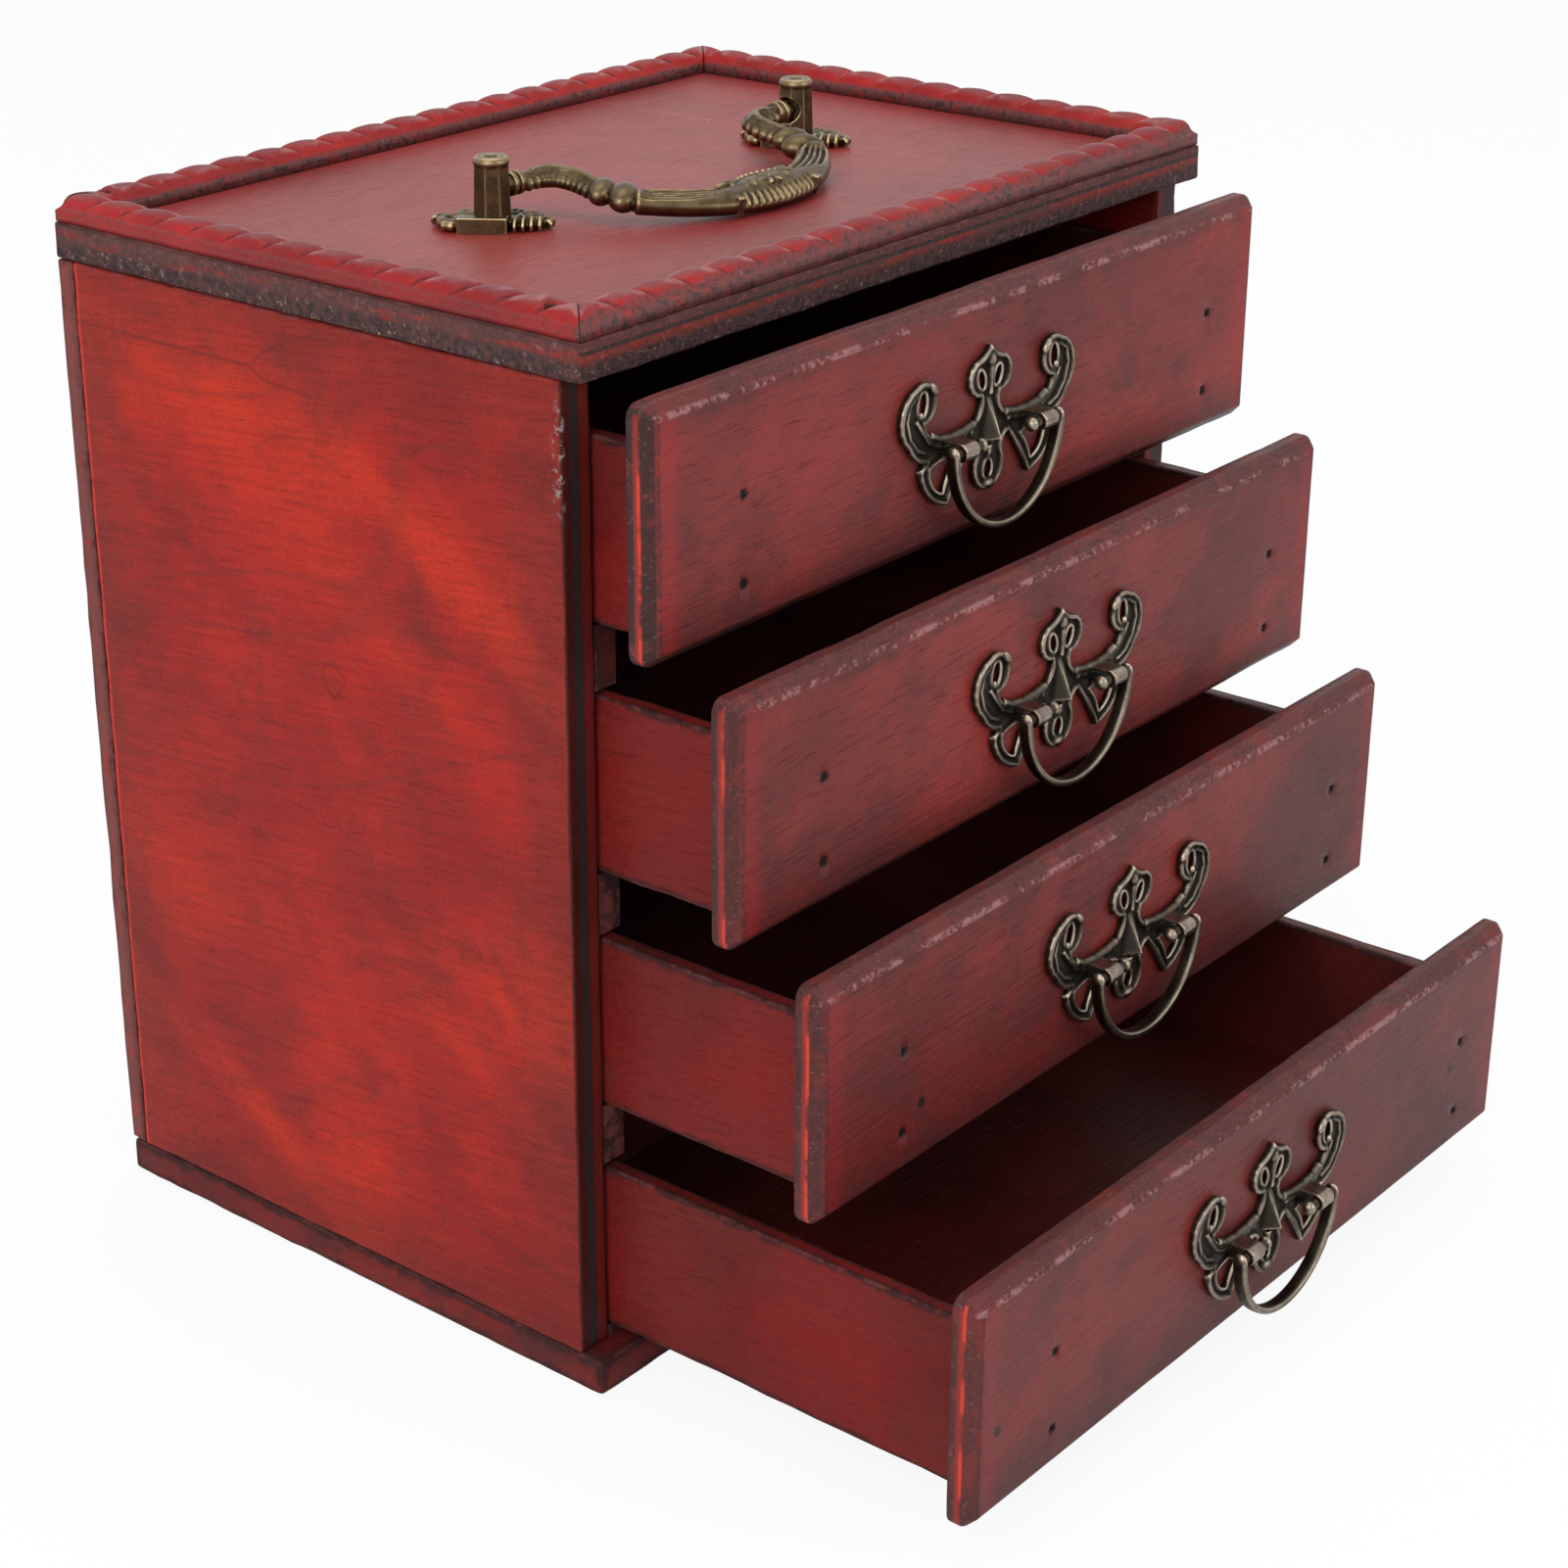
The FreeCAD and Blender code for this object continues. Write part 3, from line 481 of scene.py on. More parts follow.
paint = add_board("top_board", "case_wood", "X", ease=0.6 * MM, cell=2.6 * MM, depth=0.14 * MM, shine=0.33,
                  scorch_width=1.2 * MM, rub=0.3, smudge=0.25, cloud_scale=18.0, deep=(0.200, 0.024, 0.022),
                  bright=(0.265, 0.031, 0.028), dark=(0.13, 0.022, 0.020), fibre_strength=0.05, pores=0.05)
low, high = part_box("top_board")
paint.lay(paint.cloud(700.0, 1.0, 0.5).ramp(0.79, 0.82) * 0.7, (0.42, 0.26, 0.25))
paint.lay(paint.x.near(44.9 * MM, 0.35 * MM, 0.8) * 0.30, (0.36, 0.10, 0.09))
rim = paint.z.fade(high.z - 0.7 * MM, high.z - 0.25 * MM)
gritty = paint.cloud(750.0, 5.0, 0.72)
specks = paint.cloud(900.0, 5.0, 0.75).ramp(0.57, 0.66)
patches = paint.cloud(1.0, 3.0, 0.6, at=vector_node(paint.tree, "MULTIPLY", paint.place, (60, 60, 420)))
front = paint.y.fade(low.y + 0.2 * MM, low.y + 1.0 * MM)
lower = paint.z.fade(low.z + 2.5 * MM, low.z + 3.9 * MM)
red = (front * 0.10 + patches).ramp(0.53, 0.60) * paint.z.near(low.z + 3.9 * MM, 1.1 * MM, 0.6)
paint.lay(rim, WORN_GREY)
paint.lay(rim * red, (0.30, 0.028, 0.020))
paint.lay(rim * paint.z.near(low.z + 4.7 * MM, 0.35 * MM) * front, (0.03, 0.018, 0.018))
paint.lay(rim * lower * gritty.ramp(0.44, 0.54) * 0.9, (0.020, 0.012, 0.012))
paint.lay(rim * gritty.fade(0.46, 0.58) * 0.5, (0.040, 0.022, 0.021))
paint.lay(rim * specks * lower.ramp(0.0, 1.0, 0.4, 1.0), (0.33, 0.22, 0.21))
paint.feed("Roughness", rim * 0.3 + paint.shader.inputs["Roughness"].links[0].from_socket)
paint.bump(rim * gritty, 1.4 * MM, 0.9)


# Rope mouldings
# Four strips of carved beading, pinned and mitred round the top board.  A row of leaning,
# overlapping lobes stands on a plain fillet.  The crowns are paler, partly as thinner stain and
# partly as painted reflection; the hollows carry painted shade and the crests painted highlight.

ROPE_PITCH = 8.5 * MM
ROPE_LEAN = 1.04
ROPE_FILLET = 1.1 * MM
ROPE_VALLEY = 2.85 * MM
ROPE_CELL = 0.38 * MM
ROPE_BOW = 0.9 * MM
ROPE_SETBACK = 0.45 * MM
ROPE_WEAR = 0.10 * MM
PIN_FROM_END = 9.0 * MM
PIN_FROM_SIDE = 3.3 * MM
PIN_HEAD = 0.7 * MM
PIN_LEVEL = 3.2 * MM


def points_of(geometry):
    """The points among what an operator made."""
    return [v for v in geometry if isinstance(v, bmesh.types.BMVert)]


def mark_relief(mesh, span, rounds=18):
    """Writes on each point how far it stands out of, or sinks into, its surroundings: 0.5 is level."""
    bm = bmesh.new()
    bm.from_mesh(mesh)
    bm.normal_update()
    before = [(v.co.copy(), v.normal.copy()) for v in bm.verts]
    for _ in range(rounds):
        bmesh.ops.smooth_vert(bm, verts=bm.verts, factor=0.5, use_axis_x=True, use_axis_y=True, use_axis_z=True)
    relief = mesh.attributes.new("relief", "FLOAT", "POINT")
    for v, (place, normal) in zip(bm.verts, before):
        relief.data[v.index].value = 0.5 + (place - v.co).dot(normal) / span
    bm.free()
    return mesh


def rope_height(along, across, width, height, pitch, lean):
    """Height of the moulding at a place along and across it."""
    place = across / width + 0.5
    phase = (along + lean * across - ROPE_BOW * (2 * place - 1) ** 2) / pitch
    f = phase - math.floor(phase)
    pillow = max(0.0, 1 - abs(2 * f ** 1.35 - 1) ** 2.5) ** 0.62
    crown = max(0.0, 1 - abs((place - 0.57) / 0.37) ** 2.6) ** 0.75
    outer, inner = min(1.0, (place + 0.05) / 0.42), min(1.0, (1.0 - place) / 0.20)
    slope = math.sin(outer * math.pi / 2) * math.sin((0.25 + 0.75 * inner) * math.pi / 2)
    return ROPE_FILLET + (ROPE_VALLEY - ROPE_FILLET) * slope + (height - ROPE_VALLEY) * pillow * crown


def rope_strip(node_name, turn, along_x):
    """One strip as a fine sheet raised by rope_height, closed below."""
    low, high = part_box(node_name)
    size = high - low
    length, width = (size.x, size.y) if along_x else (size.y, size.x)
    pitch = length / round(length / ROPE_PITCH)
    lean = ROPE_LEAN if along_x else -ROPE_LEAN
    bm = bmesh.new()
    bmesh.ops.create_grid(bm, x_segments=int(length / ROPE_CELL), y_segments=int(width / ROPE_CELL) + 3, size=0.5)
    for v in bm.verts:
        across = (v.co.y + 0.5) * (width - ROPE_SETBACK) - width / 2 + ROPE_SETBACK
        half = length / 2 - (across + width / 2)
        along = 2 * v.co.x * half
        wear = ROPE_WEAR * noise.noise(Vector((along, across, turn)) * 300.0)
        pin = math.hypot(abs(along) - length / 2 + PIN_FROM_END, across)
        up = rope_height(along, across, width, size.z, pitch, lean) + min(0.0, wear)
        v.co = Vector((along, across, min(up, PIN_LEVEL + 2.5 * max(0.0, pin - PIN_HEAD))))
    rim = [e for e in bm.edges if e.is_boundary]
    skirt = bmesh.ops.extrude_edge_only(bm, edges=rim)["geom"]
    for v in points_of(skirt):
        v.co.z = 0.0
    foot = [e for e in skirt if isinstance(e, bmesh.types.BMEdge) and e.is_boundary]
    bmesh.ops.contextual_create(bm, geom=foot)
    middle = (low + high) / 2
    stand = Matrix.Translation((middle.x, middle.y, low.z)) @ Matrix.Rotation(turn, 4, "Z")
    bmesh.ops.transform(bm, matrix=stand, verts=bm.verts)
    return mark_relief(to_mesh(node_name, bm), 0.7 * MM)


def carved_stain_and_shading(name, low, high, corner):
    """Stain on carving: saturated flanks; mauve crowns, partly thinner stain and partly painted reflection; painted
    shade in the recesses; pale crests, partly rubbed wear and partly painted highlight; and grey dust on the fillet.
    """
    far = Vector((1, 1, 1))
    paint = stained_wood(name, -far, far, "X", relief=0.10 * MM, shine=0.22, smudge=0.25, warmth=0.35,
                         fibre_strength=0.04, deep=(0.230, 0.010, 0.012), bright=(0.370, 0.014, 0.014))
    uneven = paint.cloud(260.0, 4.0, 0.6)
    gritty = paint.cloud(800.0, 5.0, 0.72)
    glints = paint.cloud(1900.0, 3.0, 0.6).ramp(0.66, 0.72)
    relief = paint.relief()
    height = (uneven - 0.5) * (1.2 * MM) + paint.z
    flank = (uneven - 0.5) * (1.0 * MM) + paint.y
    lobes = low.z + 3.3 * MM
    # The crests that get the pale colour: partly rubbed wear, partly painted highlight.
    rubbed = relief.ramp(0.74, 0.92) * height.ramp(lobes, lobes + 0.7 * MM) * uneven.ramp(0.42, 0.58) * 0.55
    dust = height.fade(low.z + 1.8 * MM, low.z + 2.7 * MM) * paint.x.ramp(low.x, low.x + 1.6 * MM, 0.12, 1.0)
    dust = dust.most(flank.fade(low.y + 1.3 * MM, low.y + 2.2 * MM, 0.9))
    from_side = corner.x - abs(paint.x)
    from_end = corner.y - abs(paint.y - corner.z)
    mitre = (from_side - from_end).near(0.0, 0.16 * MM) * from_side.fade(6.6 * MM, 7.0 * MM)
    # Mauve crowns: partly thinner stain, partly a painted reflection of the bright sky on the lobes' tops.
    paint.lay(height.ramp(lobes, high.z, 0.0, 0.75), (0.165, 0.050, 0.055))
    # Painted shade: dark in the hollows between the lobes.
    paint.lay(relief.fade(0.28, 0.48, 0.85), (0.100, 0.007, 0.008))
    # Pale crests: partly rubbed wear, partly a painted highlight on the lobes' raised edges.
    paint.lay(rubbed, (0.40, 0.17, 0.165))
    paint.lay(dust * uneven.ramp(0.35, 0.5, 0.5, 0.95), (0.110, 0.040, 0.038))
    paint.lay(dust * gritty.ramp(0.50, 0.62), (0.035, 0.022, 0.022))
    paint.lay(dust * glints * 0.7, (0.34, 0.26, 0.25))
    paint.lay(paint.z.fade(low.z, low.z + 0.3 * MM, 0.4), SCORCH)
    paint.lay(mitre, (0.006, 0.004, 0.004))
    jag = gritty * (0.8 * MM) - 0.4 * MM
    for spot in ((PIN_FROM_SIDE, PIN_FROM_END), (PIN_FROM_END, PIN_FROM_SIDE)):
        pin = radius_from(from_side, from_end, spot, jag)
        paint.lay(pin.fade(0.6 * MM, 1.0 * MM, 0.9), (0.012, 0.006, 0.006))
    return paint.material


rope_low, rope_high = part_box("rope_moulding_front")
back_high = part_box("rope_moulding_back")[1]
ROPE_CORNER = Vector((rope_high.x, (back_high.y - rope_low.y) / 2, (back_high.y + rope_low.y) / 2))
ROPE_STAIN_AND_SHADING = carved_stain_and_shading("carved_stain_and_shading", rope_low, rope_high, ROPE_CORNER)
for side, turn, along_x in (("front", 0, True), ("right", 90, False), ("back", 180, True), ("left", 270, False)):
    name = "rope_moulding_" + side
    strip = rope_strip(name, math.radians(turn), along_x)
    add_piece(name + "_carving", strip, ROPE_STAIN_AND_SHADING, [name])


# Drawer boxes and runners
# Each box is four thin walls round a floor panel.  The insides are painted much darker than
# the outsides, the upper rims are scorched, and the side walls run on plain strips glued to the case.

DRAWERS = range(1, 5)
FLOOR_SHRINK = Vector((0.8, 0, 0.05)) * MM
INSIDE_DARKER = dict(smudge=0.5, deep=(0.050, 0.009, 0.008), bright=(0.085, 0.012, 0.010), warmth=0.2,
                    warm=(0.22, 0.018, 0.012))

for k in DRAWERS:
    add_board("drawer_%d_left_side" % k, "box_wood", "Y", ease=0.5 * MM, shine=0.10, scorch_width=1.4 * MM,
              smudge=0.6, deep=(0.110, 0.008, 0.007), bright=(0.180, 0.010, 0.009), rub=0.3, edge_shade=0.4)
    for wall, fibre, ease in (("right_side", "Y", 0.5), ("back", "X", 0.4), ("box_front", "X", 0.4)):
        add_board("drawer_%d_%s" % (k, wall), "box_wood", fibre, ease=ease * MM, shine=0.25,
                  scorch_width=1.4 * MM, **INSIDE_DARKER)
    add_board("drawer_%d_bottom" % k, "box_wood", "X", ease=0.3 * MM, scorch_width=0.8 * MM,
              shrink=FLOOR_SHRINK, **INSIDE_DARKER)

low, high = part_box("runners_1")
RUNNER_STAIN = stained_wood("runner_stain", low, high, "Y", deep=(0.06, 0.012, 0.010),
                            bright=(0.11, 0.018, 0.012), smudge=0.8).material
for k in DRAWERS:
    repaint(frame["nodes"]["runners_%d" % k].data, RUNNER_STAIN)


# Drawer fronts
# A full-width board planed off all round at the face, stained browner than the case, with
# the bevels scorched.  The heads of the four brads in it lie in small pits.  Each drawer's stain
# is scaled lighter or darker as painted light and shade, the end bevels carry painted shade, and
# the top arris and the end faces carry painted highlights.

FRONT_BEVEL = 2.1 * MM
FRONT_CORNER = 2.3 * MM
FRONT_ARRIS = 0.35 * MM
FRONT_CELL = 2.6 * MM
FRONT_BAND = 3.5 * MM
BRAD_X = (-63.0 * MM, 69.0 * MM)
BRAD_Z = (2.0 * MM, -12.5 * MM)
DIMPLE_RADIUS = 0.9 * MM
DIMPLE_HALF = 0.75 * MM
DIMPLE_DEPTH = 1.1 * MM
DIMPLE_RAGGED = 0.3 * MM
FRONT_DEEP = Vector((0.095, 0.013, 0.012))
FRONT_BRIGHT = Vector((0.150, 0.018, 0.016))
FRONT_WARM = Vector((0.230, 0.020, 0.015))
FRONT_DARK = (0.050, 0.017, 0.016)
SOOTY = (0.046, 0.015, 0.014)
# Painted light and shade: each drawer's stain is scaled lighter for the upper drawers and darker for the lower ones.
FRONT_PAINTED_LIGHT = {1: 1.30, 2: 1.20, 3: 1.0, 4: 0.86}
FRONT_END_SHADE_AND_SOOT = {1: 0.8, 2: 0.4, 3: 0.4, 4: 0.15}
FRONT_DENTS = {1: (), 2: ((-0.4, 11.0),), 3: ((-58.0, -9.0),), 4: ((-78.2, -4.7), (66.0, -2.4))}


def sink_dimple(bm, x, z, face_y, seed):
    """Pushes a small ragged patch of the face inwards about one nail."""
    def off(co):
        return abs(co.x - x), abs(co.z - z)

    patch = []
    for face in bm.faces:
        middle = face.calc_center_median()
        if face.normal.y < -0.9 and abs(middle.y - face_y) < CUT_MERGE and max(off(middle)) < DIMPLE_HALF:
            patch.append(face)
    pit = bmesh.ops.extrude_face_region(bm, geom=patch)["geom"]
    bmesh.ops.delete(bm, geom=patch, context="FACES")
    for v in points_of(pit):
        v.co.y += DIMPLE_DEPTH
    for v in bm.verts:
        if abs(v.co.y - face_y) < CUT_MERGE and all(abs(far - DIMPLE_HALF) < CUT_MERGE for far in off(v.co)):
            spot = v.co * 900.0 + Vector((seed, 0, 0))
            v.co += DIMPLE_RAGGED * Vector((noise.noise(spot), 0, noise.noise(spot.yzx)))


def front_board(name, low, high, seed):
    """The bevelled front with rounded corners and four nail pits."""
    bm = solid_box(low, high)
    bevel(bm, [e for e in bm.edges if abs(e.verts[0].co.y - e.verts[1].co.y) > MM], FRONT_CORNER, 5)
    bevel(bm, [e for e in bm.edges if all(abs(v.co.y - low.y) < 1e-6 for v in e.verts)], FRONT_BEVEL, 1)
    sharp = [e for e in bm.edges if len(e.link_faces) == 2 and e.calc_face_angle() > math.radians(30)]
    bevel(bm, sharp, FRONT_ARRIS, 2)
    slice_up(bm, FRONT_CELL)
    middle = (low + high) / 2
    for v in bm.verts:
        near = min(min(v.co[i] - low[i], high[i] - v.co[i]) for i in (0, 2))
        if near < FRONT_BAND:
            spot = Vector((v.co.x, seed, v.co.z))
            push = 0.28 * MM * noise.noise(spot * 70.0) + 0.12 * MM * noise.noise(spot * 260.0)
            inward = Vector((-1.0 if v.co.x > 0 else 1.0, 0, -1.0 if v.co.z > middle.z else 1.0))
            for i in (0, 2):
                if min(v.co[i] - low[i], high[i] - v.co[i]) > FRONT_BEVEL * 1.6:
                    inward[i] = 0.0
            v.co += inward * max(0.0, push) * (1 - near / FRONT_BAND)
    heights = [middle.z + up for up in BRAD_Z]
    for axis, centres in ((0, BRAD_X), (2, heights)):
        for centre in centres:
            cut_across(bm, axis, centre - DIMPLE_HALF)
            cut_across(bm, axis, centre + DIMPLE_HALF)
    for x in BRAD_X:
        for z in heights:
            sink_dimple(bm, x, z, low.y, seed)
    return to_mesh(name, bm)


for k in DRAWERS:
    low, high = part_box("drawer_%d_front" % k)
    middle_z = (low.z + high.z) / 2
    # tone is this drawer's painted lighting, which scales its stain.
    tone = FRONT_PAINTED_LIGHT[k]
    paint = stained_wood("drawer_%d_front_stain" % k, low, high, "X", shine=0.21, smudge=0.6, scorch_width=1.2 * MM,
                         rub=0.1, fibre_strength=0.06, cloud_scale=24.0, pores=0.12, warmth=0.55,
                         growth_lines=0.16, deep=FRONT_DEEP * tone, bright=FRONT_BRIGHT * tone,
                         warm=FRONT_WARM * tone, dark=FRONT_DARK)
    y = paint.y
    fine = paint.cloud(900.0, 5.0, 0.7)
    broad = paint.cloud(120.0, 4.0, 0.6)
    glints = paint.cloud(1500.0, 3.0, 0.6).ramp(0.60, 0.70)
    wander = (broad - 0.5) * (7.0 * MM)
    from_end = high.x - abs(paint.x)
    from_top = high.z - paint.z
    foot = (paint.z - low.z + wander).fade(2.0 * MM, 9.0 * MM, 0.75) * fine.ramp(0.40, 0.62, 0.55, 1.0)
    off_face = y.ramp(low.y + 0.12 * MM, low.y + 0.5 * MM)
    ends = (from_end - from_top).fade(-0.3 * MM, 0.3 * MM)
    # The top arris: a pale broken line, partly rubbed wear, partly painted highlight.
    arris_wear_and_highlight = from_top.near(2.25 * MM, 0.5 * MM) * y.fade(low.y + 0.5 * MM, low.y + 1.2 * MM)
    arris_wear_and_highlight = arris_wear_and_highlight * (broad * 0.8 + fine).ramp(0.88, 1.02) * 0.85
    end_band = from_end.fade(0.1 * MM, 0.5 * MM) * y.near(low.y + 2.6 * MM, 0.5 * MM) * 0.9
    # Painted highlight: a bright orange-red line along each end face.
    end_highlight_line = from_end.fade(0.5 * MM, 0.9 * MM) * y.near(low.y + 2.2 * MM, 0.26 * MM) * broad.ramp(0.42, 0.56)
    spots = [(along, middle_z + up) for along in BRAD_X for up in BRAD_Z]
    spots += [(along * MM, middle_z + up * MM) for along, up in FRONT_DENTS[k]]
    jag = paint.cloud(1300.0, 4.0, 0.65) * (1.6 * MM) - 0.8 * MM
    pits = None
    for spot in spots:
        pit = radius_from(paint.x, paint.z, spot, jag).fade(DIMPLE_RADIUS * 0.8, DIMPLE_RADIUS * 1.4)
        pits = pit if pits is None else pits.most(pit)
    paint.lay(foot, SOOTY)
    paint.lay((from_top + wander).fade(2.0 * MM, 5.0 * MM, 0.45), SOOTY)
    paint.lay(from_end.near(4.2 * MM, 2.0 * MM, 0.9) * 0.4, (0.240 * tone, 0.014, 0.018))
    paint.lay(from_end.near(2.3 * MM, 0.4 * MM) * fine.ramp(0.40, 0.55) * 0.7, (0.034, 0.017, 0.017))
    paint.lay(off_face * 0.55, (0.090, 0.026, 0.024))
    # End bevels darkened: partly scorch, partly painted shade on the bevels that face the sides, set per drawer.
    paint.lay(off_face * ends * FRONT_END_SHADE_AND_SOOT[k], (0.020, 0.010, 0.010))
    paint.lay(off_face * fine.ramp(0.50, 0.62) * 0.6, (0.028, 0.014, 0.014))
    paint.lay(off_face * broad.ramp(0.52, 0.64) * 0.6, (0.150, 0.022, 0.019))
    paint.lay(arris_wear_and_highlight, (0.30, 0.14, 0.14))
    paint.lay(off_face * glints * 0.6, (0.17, 0.10, 0.098))
    paint.lay(end_band, (0.24, 0.020, 0.015))
    paint.lay(end_highlight_line, (0.52, 0.042, 0.022))
    paint.lay(pits * 0.92, (0.012, 0.006, 0.007))
    front = add_piece("drawer_%d_face_board" % k, front_board("drawer_%d_face" % k, low, high, k), paint.material,
                      ["drawer_%d_front" % k])
    front.modifiers.new("Even shading", "WEIGHTED_NORMAL")


# Pull plates
# Thin brass castings in a swan-neck outline, with a rolled rim, pierced eyes and a
# teardrop nose.  Antiqued: black in the hollows, and bright on every raised edge, partly
# rubbed brass and partly painted highlight.

BRASS_DARK = (0.010, 0.008, 0.007)
BRASS_MID = (0.088, 0.073, 0.057)
BRASS_RUBBED_HIGHLIGHT = (0.54, 0.45, 0.35)
CAST_VOXEL = 0.2
PLATE_SHEET = 0.75
PLATE_FOOT = (0, -10.3)
HINGE_BELOW_MIDDLE = 3.1 * MM
PLATE_HALF = [
    (0, 14.8), (1.5, 13.5), (2.9, 12.9), (6.0, 9.6), (2.7, 6.3), (3.2, 3.7), (5.6, 2.4), (11.0, 1.9),
    (15.6, 2.9), (17.3, 3.8), (18.2, 5.3), (15.4, 7.5), (15.6, 10.6), (17.6, 12.4), (20.3, 12.1),
    (24.6, 7.6), (22.4, 2.0), (20.2, -0.4), (17.4, -1.4), (18.4, -1.8), (19.3, -2.6), (16.9, -7.4),
    (11.6, -10.0), (8.9, -5.8), (5.4, -1.3), (3.9, -2.3), (3.7, -3.7), (3.7, -8.0), (0, -10.3),
]
PLATE_ARCH = [
    (9.6, -2.6), (12.8, -2.0), (16.2, -2.8), (15.4, -5.6), (12.6, -7.6), (11.4, -4.8), (9.6, -2.6),
]
PLATE_EYES = [(18.7, 8.7, 1.05, 2.1, 0.12), (2.3, 9.2, 0.85, 1.6, -0.35)]
LOBE_EYE = (0, -6.6, 1.05, 1.5, 0.0)
PLATE_NECK = ((4.5, 1.5), (7.6, 0.7), (11.2, 0.4), (14.4, 0.8), (16.8, 2.0), (18.7, 4.2), (20.4, 6.4))
PLATE_BROW = ((4.4, 2.2), (7.5, 1.6), (11.0, 1.45), (14.4, 1.9), (16.6, 3.0))
PLATE_HEAD = ((20.1, 10.7), (22.3, 9.4), (22.9, 6.8), (21.9, 3.6), (20.0, 1.4), (17.6, 0.3))
PLATE_LEG = ((6.8, -2.4), (9.2, -4.7), (11.6, -8.6))
NOSE_BASE = ((-2.4, -1.6), (2.4, -1.6), (0.6, 7.0), (-0.6, 7.0))
NOSE_TIP = (0, -3.78, -1.0)


def antique_brass(name, bright=BRASS_RUBBED_HIGHLIGHT, mid=BRASS_MID, dark=BRASS_DARK, polish=0.27, level=0.51):
    """Antiqued brass: dark where the casting is hollow, and bright where it stands out, partly rubbed brass and
    partly painted highlight.
    """
    paint = new_paint(name)
    patches = paint.cloud(300.0, 5.0, 0.65)
    fine = paint.cloud(1600.0, 3.0, 0.6)
    relief = (patches - 0.5) * 0.16 + paint.relief()
    hollow = relief.fade(level - 0.19, level)
    tint = blend_colour(paint.tree, patches.ramp(0.35, 0.65), mid, [c * 0.5 for c in mid])
    paint.feed("Base Color", tint)
    # Bright raised parts: partly rubbed brass, partly painted highlight.
    paint.lay(relief.ramp(0.55, 0.78), bright)
    paint.lay(hollow, dark)
    paint.feed("Metallic", 1.0)
    paint.feed("Roughness", hollow * 0.25 + (fine * 0.16 + polish))
    paint.bump(fine, 0.05 * MM, 0.6)
    return paint.material


def through(first, middle, last, steps):
    """Points on the arc through three points, without the last."""
    (ax, ay), (bx, by), (cx, cy) = first, middle, last
    d = 2 * (ax * (by - cy) + bx * (cy - ay) + cx * (ay - by))
    sa, sb, sc = ax * ax + ay * ay, bx * bx + by * by, cx * cx + cy * cy
    ux = (sa * (by - cy) + sb * (cy - ay) + sc * (ay - by)) / d
    uy = (sa * (cx - bx) + sb * (ax - cx) + sc * (bx - ax)) / d
    radius = math.hypot(ax - ux, ay - uy)
    start = math.atan2(ay - uy, ax - ux)
    sweep = (math.atan2(cy - uy, cx - ux) - start) % (2 * math.pi)
    half = (math.atan2(by - uy, bx - ux) - start) % (2 * math.pi)
    if half > sweep:
        sweep -= 2 * math.pi
    return [(ux + radius * math.cos(start + sweep * i / steps), uy + radius * math.sin(start + sweep * i / steps))
            for i in range(steps)]


def closed_run(points, steps=7):
    """All the points on arcs through every three points, each arc starting where the last one ends."""
    arcs = zip(points[::2], points[1::2], points[2::2])
    return [p for arc in arcs for p in through(*arc, steps)]


def oval_of(x, z, half_x, half_z, turn=0.0, count=20):
    """Points round an ellipse, turned in its plane."""
    run = []
    for i in range(count):
        a, b = half_x * math.cos(2 * math.pi * i / count), half_z * math.sin(2 * math.pi * i / count)
        run.append((x + a * math.cos(turn) - b * math.sin(turn), z + a * math.sin(turn) + b * math.cos(turn)))
    return run


def mirror_run(points):
    """A closed run of points seen in a mirror."""
    return [(-x, z) for x, z in points]


def add_tube(bm, points, radius, closed=False, radii=None, sides=3):
    """Adds a round rod along points to a bmesh."""
    line = bpy.data.curves.new("rod", "CURVE")
    line.dimensions = "3D"
    line.bevel_depth = radius
    line.bevel_resolution = sides
    line.use_fill_caps = True
    spline = line.splines.new("POLY")
    spline.points.add(len(points) - 1)
    for i, p in enumerate(points):
        spline.points[i].co = (*p, 1.0)
        spline.points[i].radius = radii[i] if radii else 1.0
    spline.use_cyclic_u = closed
    holder = bpy.data.objects.new("rod", line)
    bpy.context.scene.collection.objects.link(holder)
    mesh = bpy.data.meshes.new_from_object(holder.evaluated_get(bpy.context.evaluated_depsgraph_get()))
    bm.from_mesh(mesh)
    bpy.data.objects.remove(holder)
    bpy.data.curves.remove(line)
    bpy.data.meshes.remove(mesh)


def add_ball(bm, place, size, turn=0.0, axis="Y", segments=16):
    """Adds an egg of three half-lengths, turned about one axis."""
    matrix = Matrix.Translation(place) @ Matrix.Rotation(turn, 4, axis) @ Matrix.Diagonal((*size, 1.0))
    bmesh.ops.create_uvsphere(bm, u_segments=segments, v_segments=segments // 2, radius=1.0, matrix=matrix)


def add_block(bm, place, size, turn=0.0):
    """Adds a square block, turned about the upright axis."""
    matrix = Matrix.Translation(place) @ Matrix.Rotation(turn, 4, "Z") @ Matrix.Diagonal((*size, 1.0))
    bmesh.ops.create_cube(bm, size=1.0, matrix=matrix)


def add_rod(bm, start, end, radius, second=None, segments=24):
    """Adds a straight round rod, tapered if given a second radius."""
    start, end = Vector(start), Vector(end)
    turn = (end - start).to_track_quat("Z", "Y").to_matrix().to_4x4()
    bmesh.ops.create_cone(bm, cap_ends=True, segments=segments, radius1=radius,
                          radius2=radius if second is None else second, depth=(end - start).length,
                          matrix=Matrix.Translation((start + end) / 2) @ turn)


def close_holes(bm):
    """Caps every open end."""
    bmesh.ops.holes_fill(bm, edges=[e for e in bm.edges if e.is_boundary])


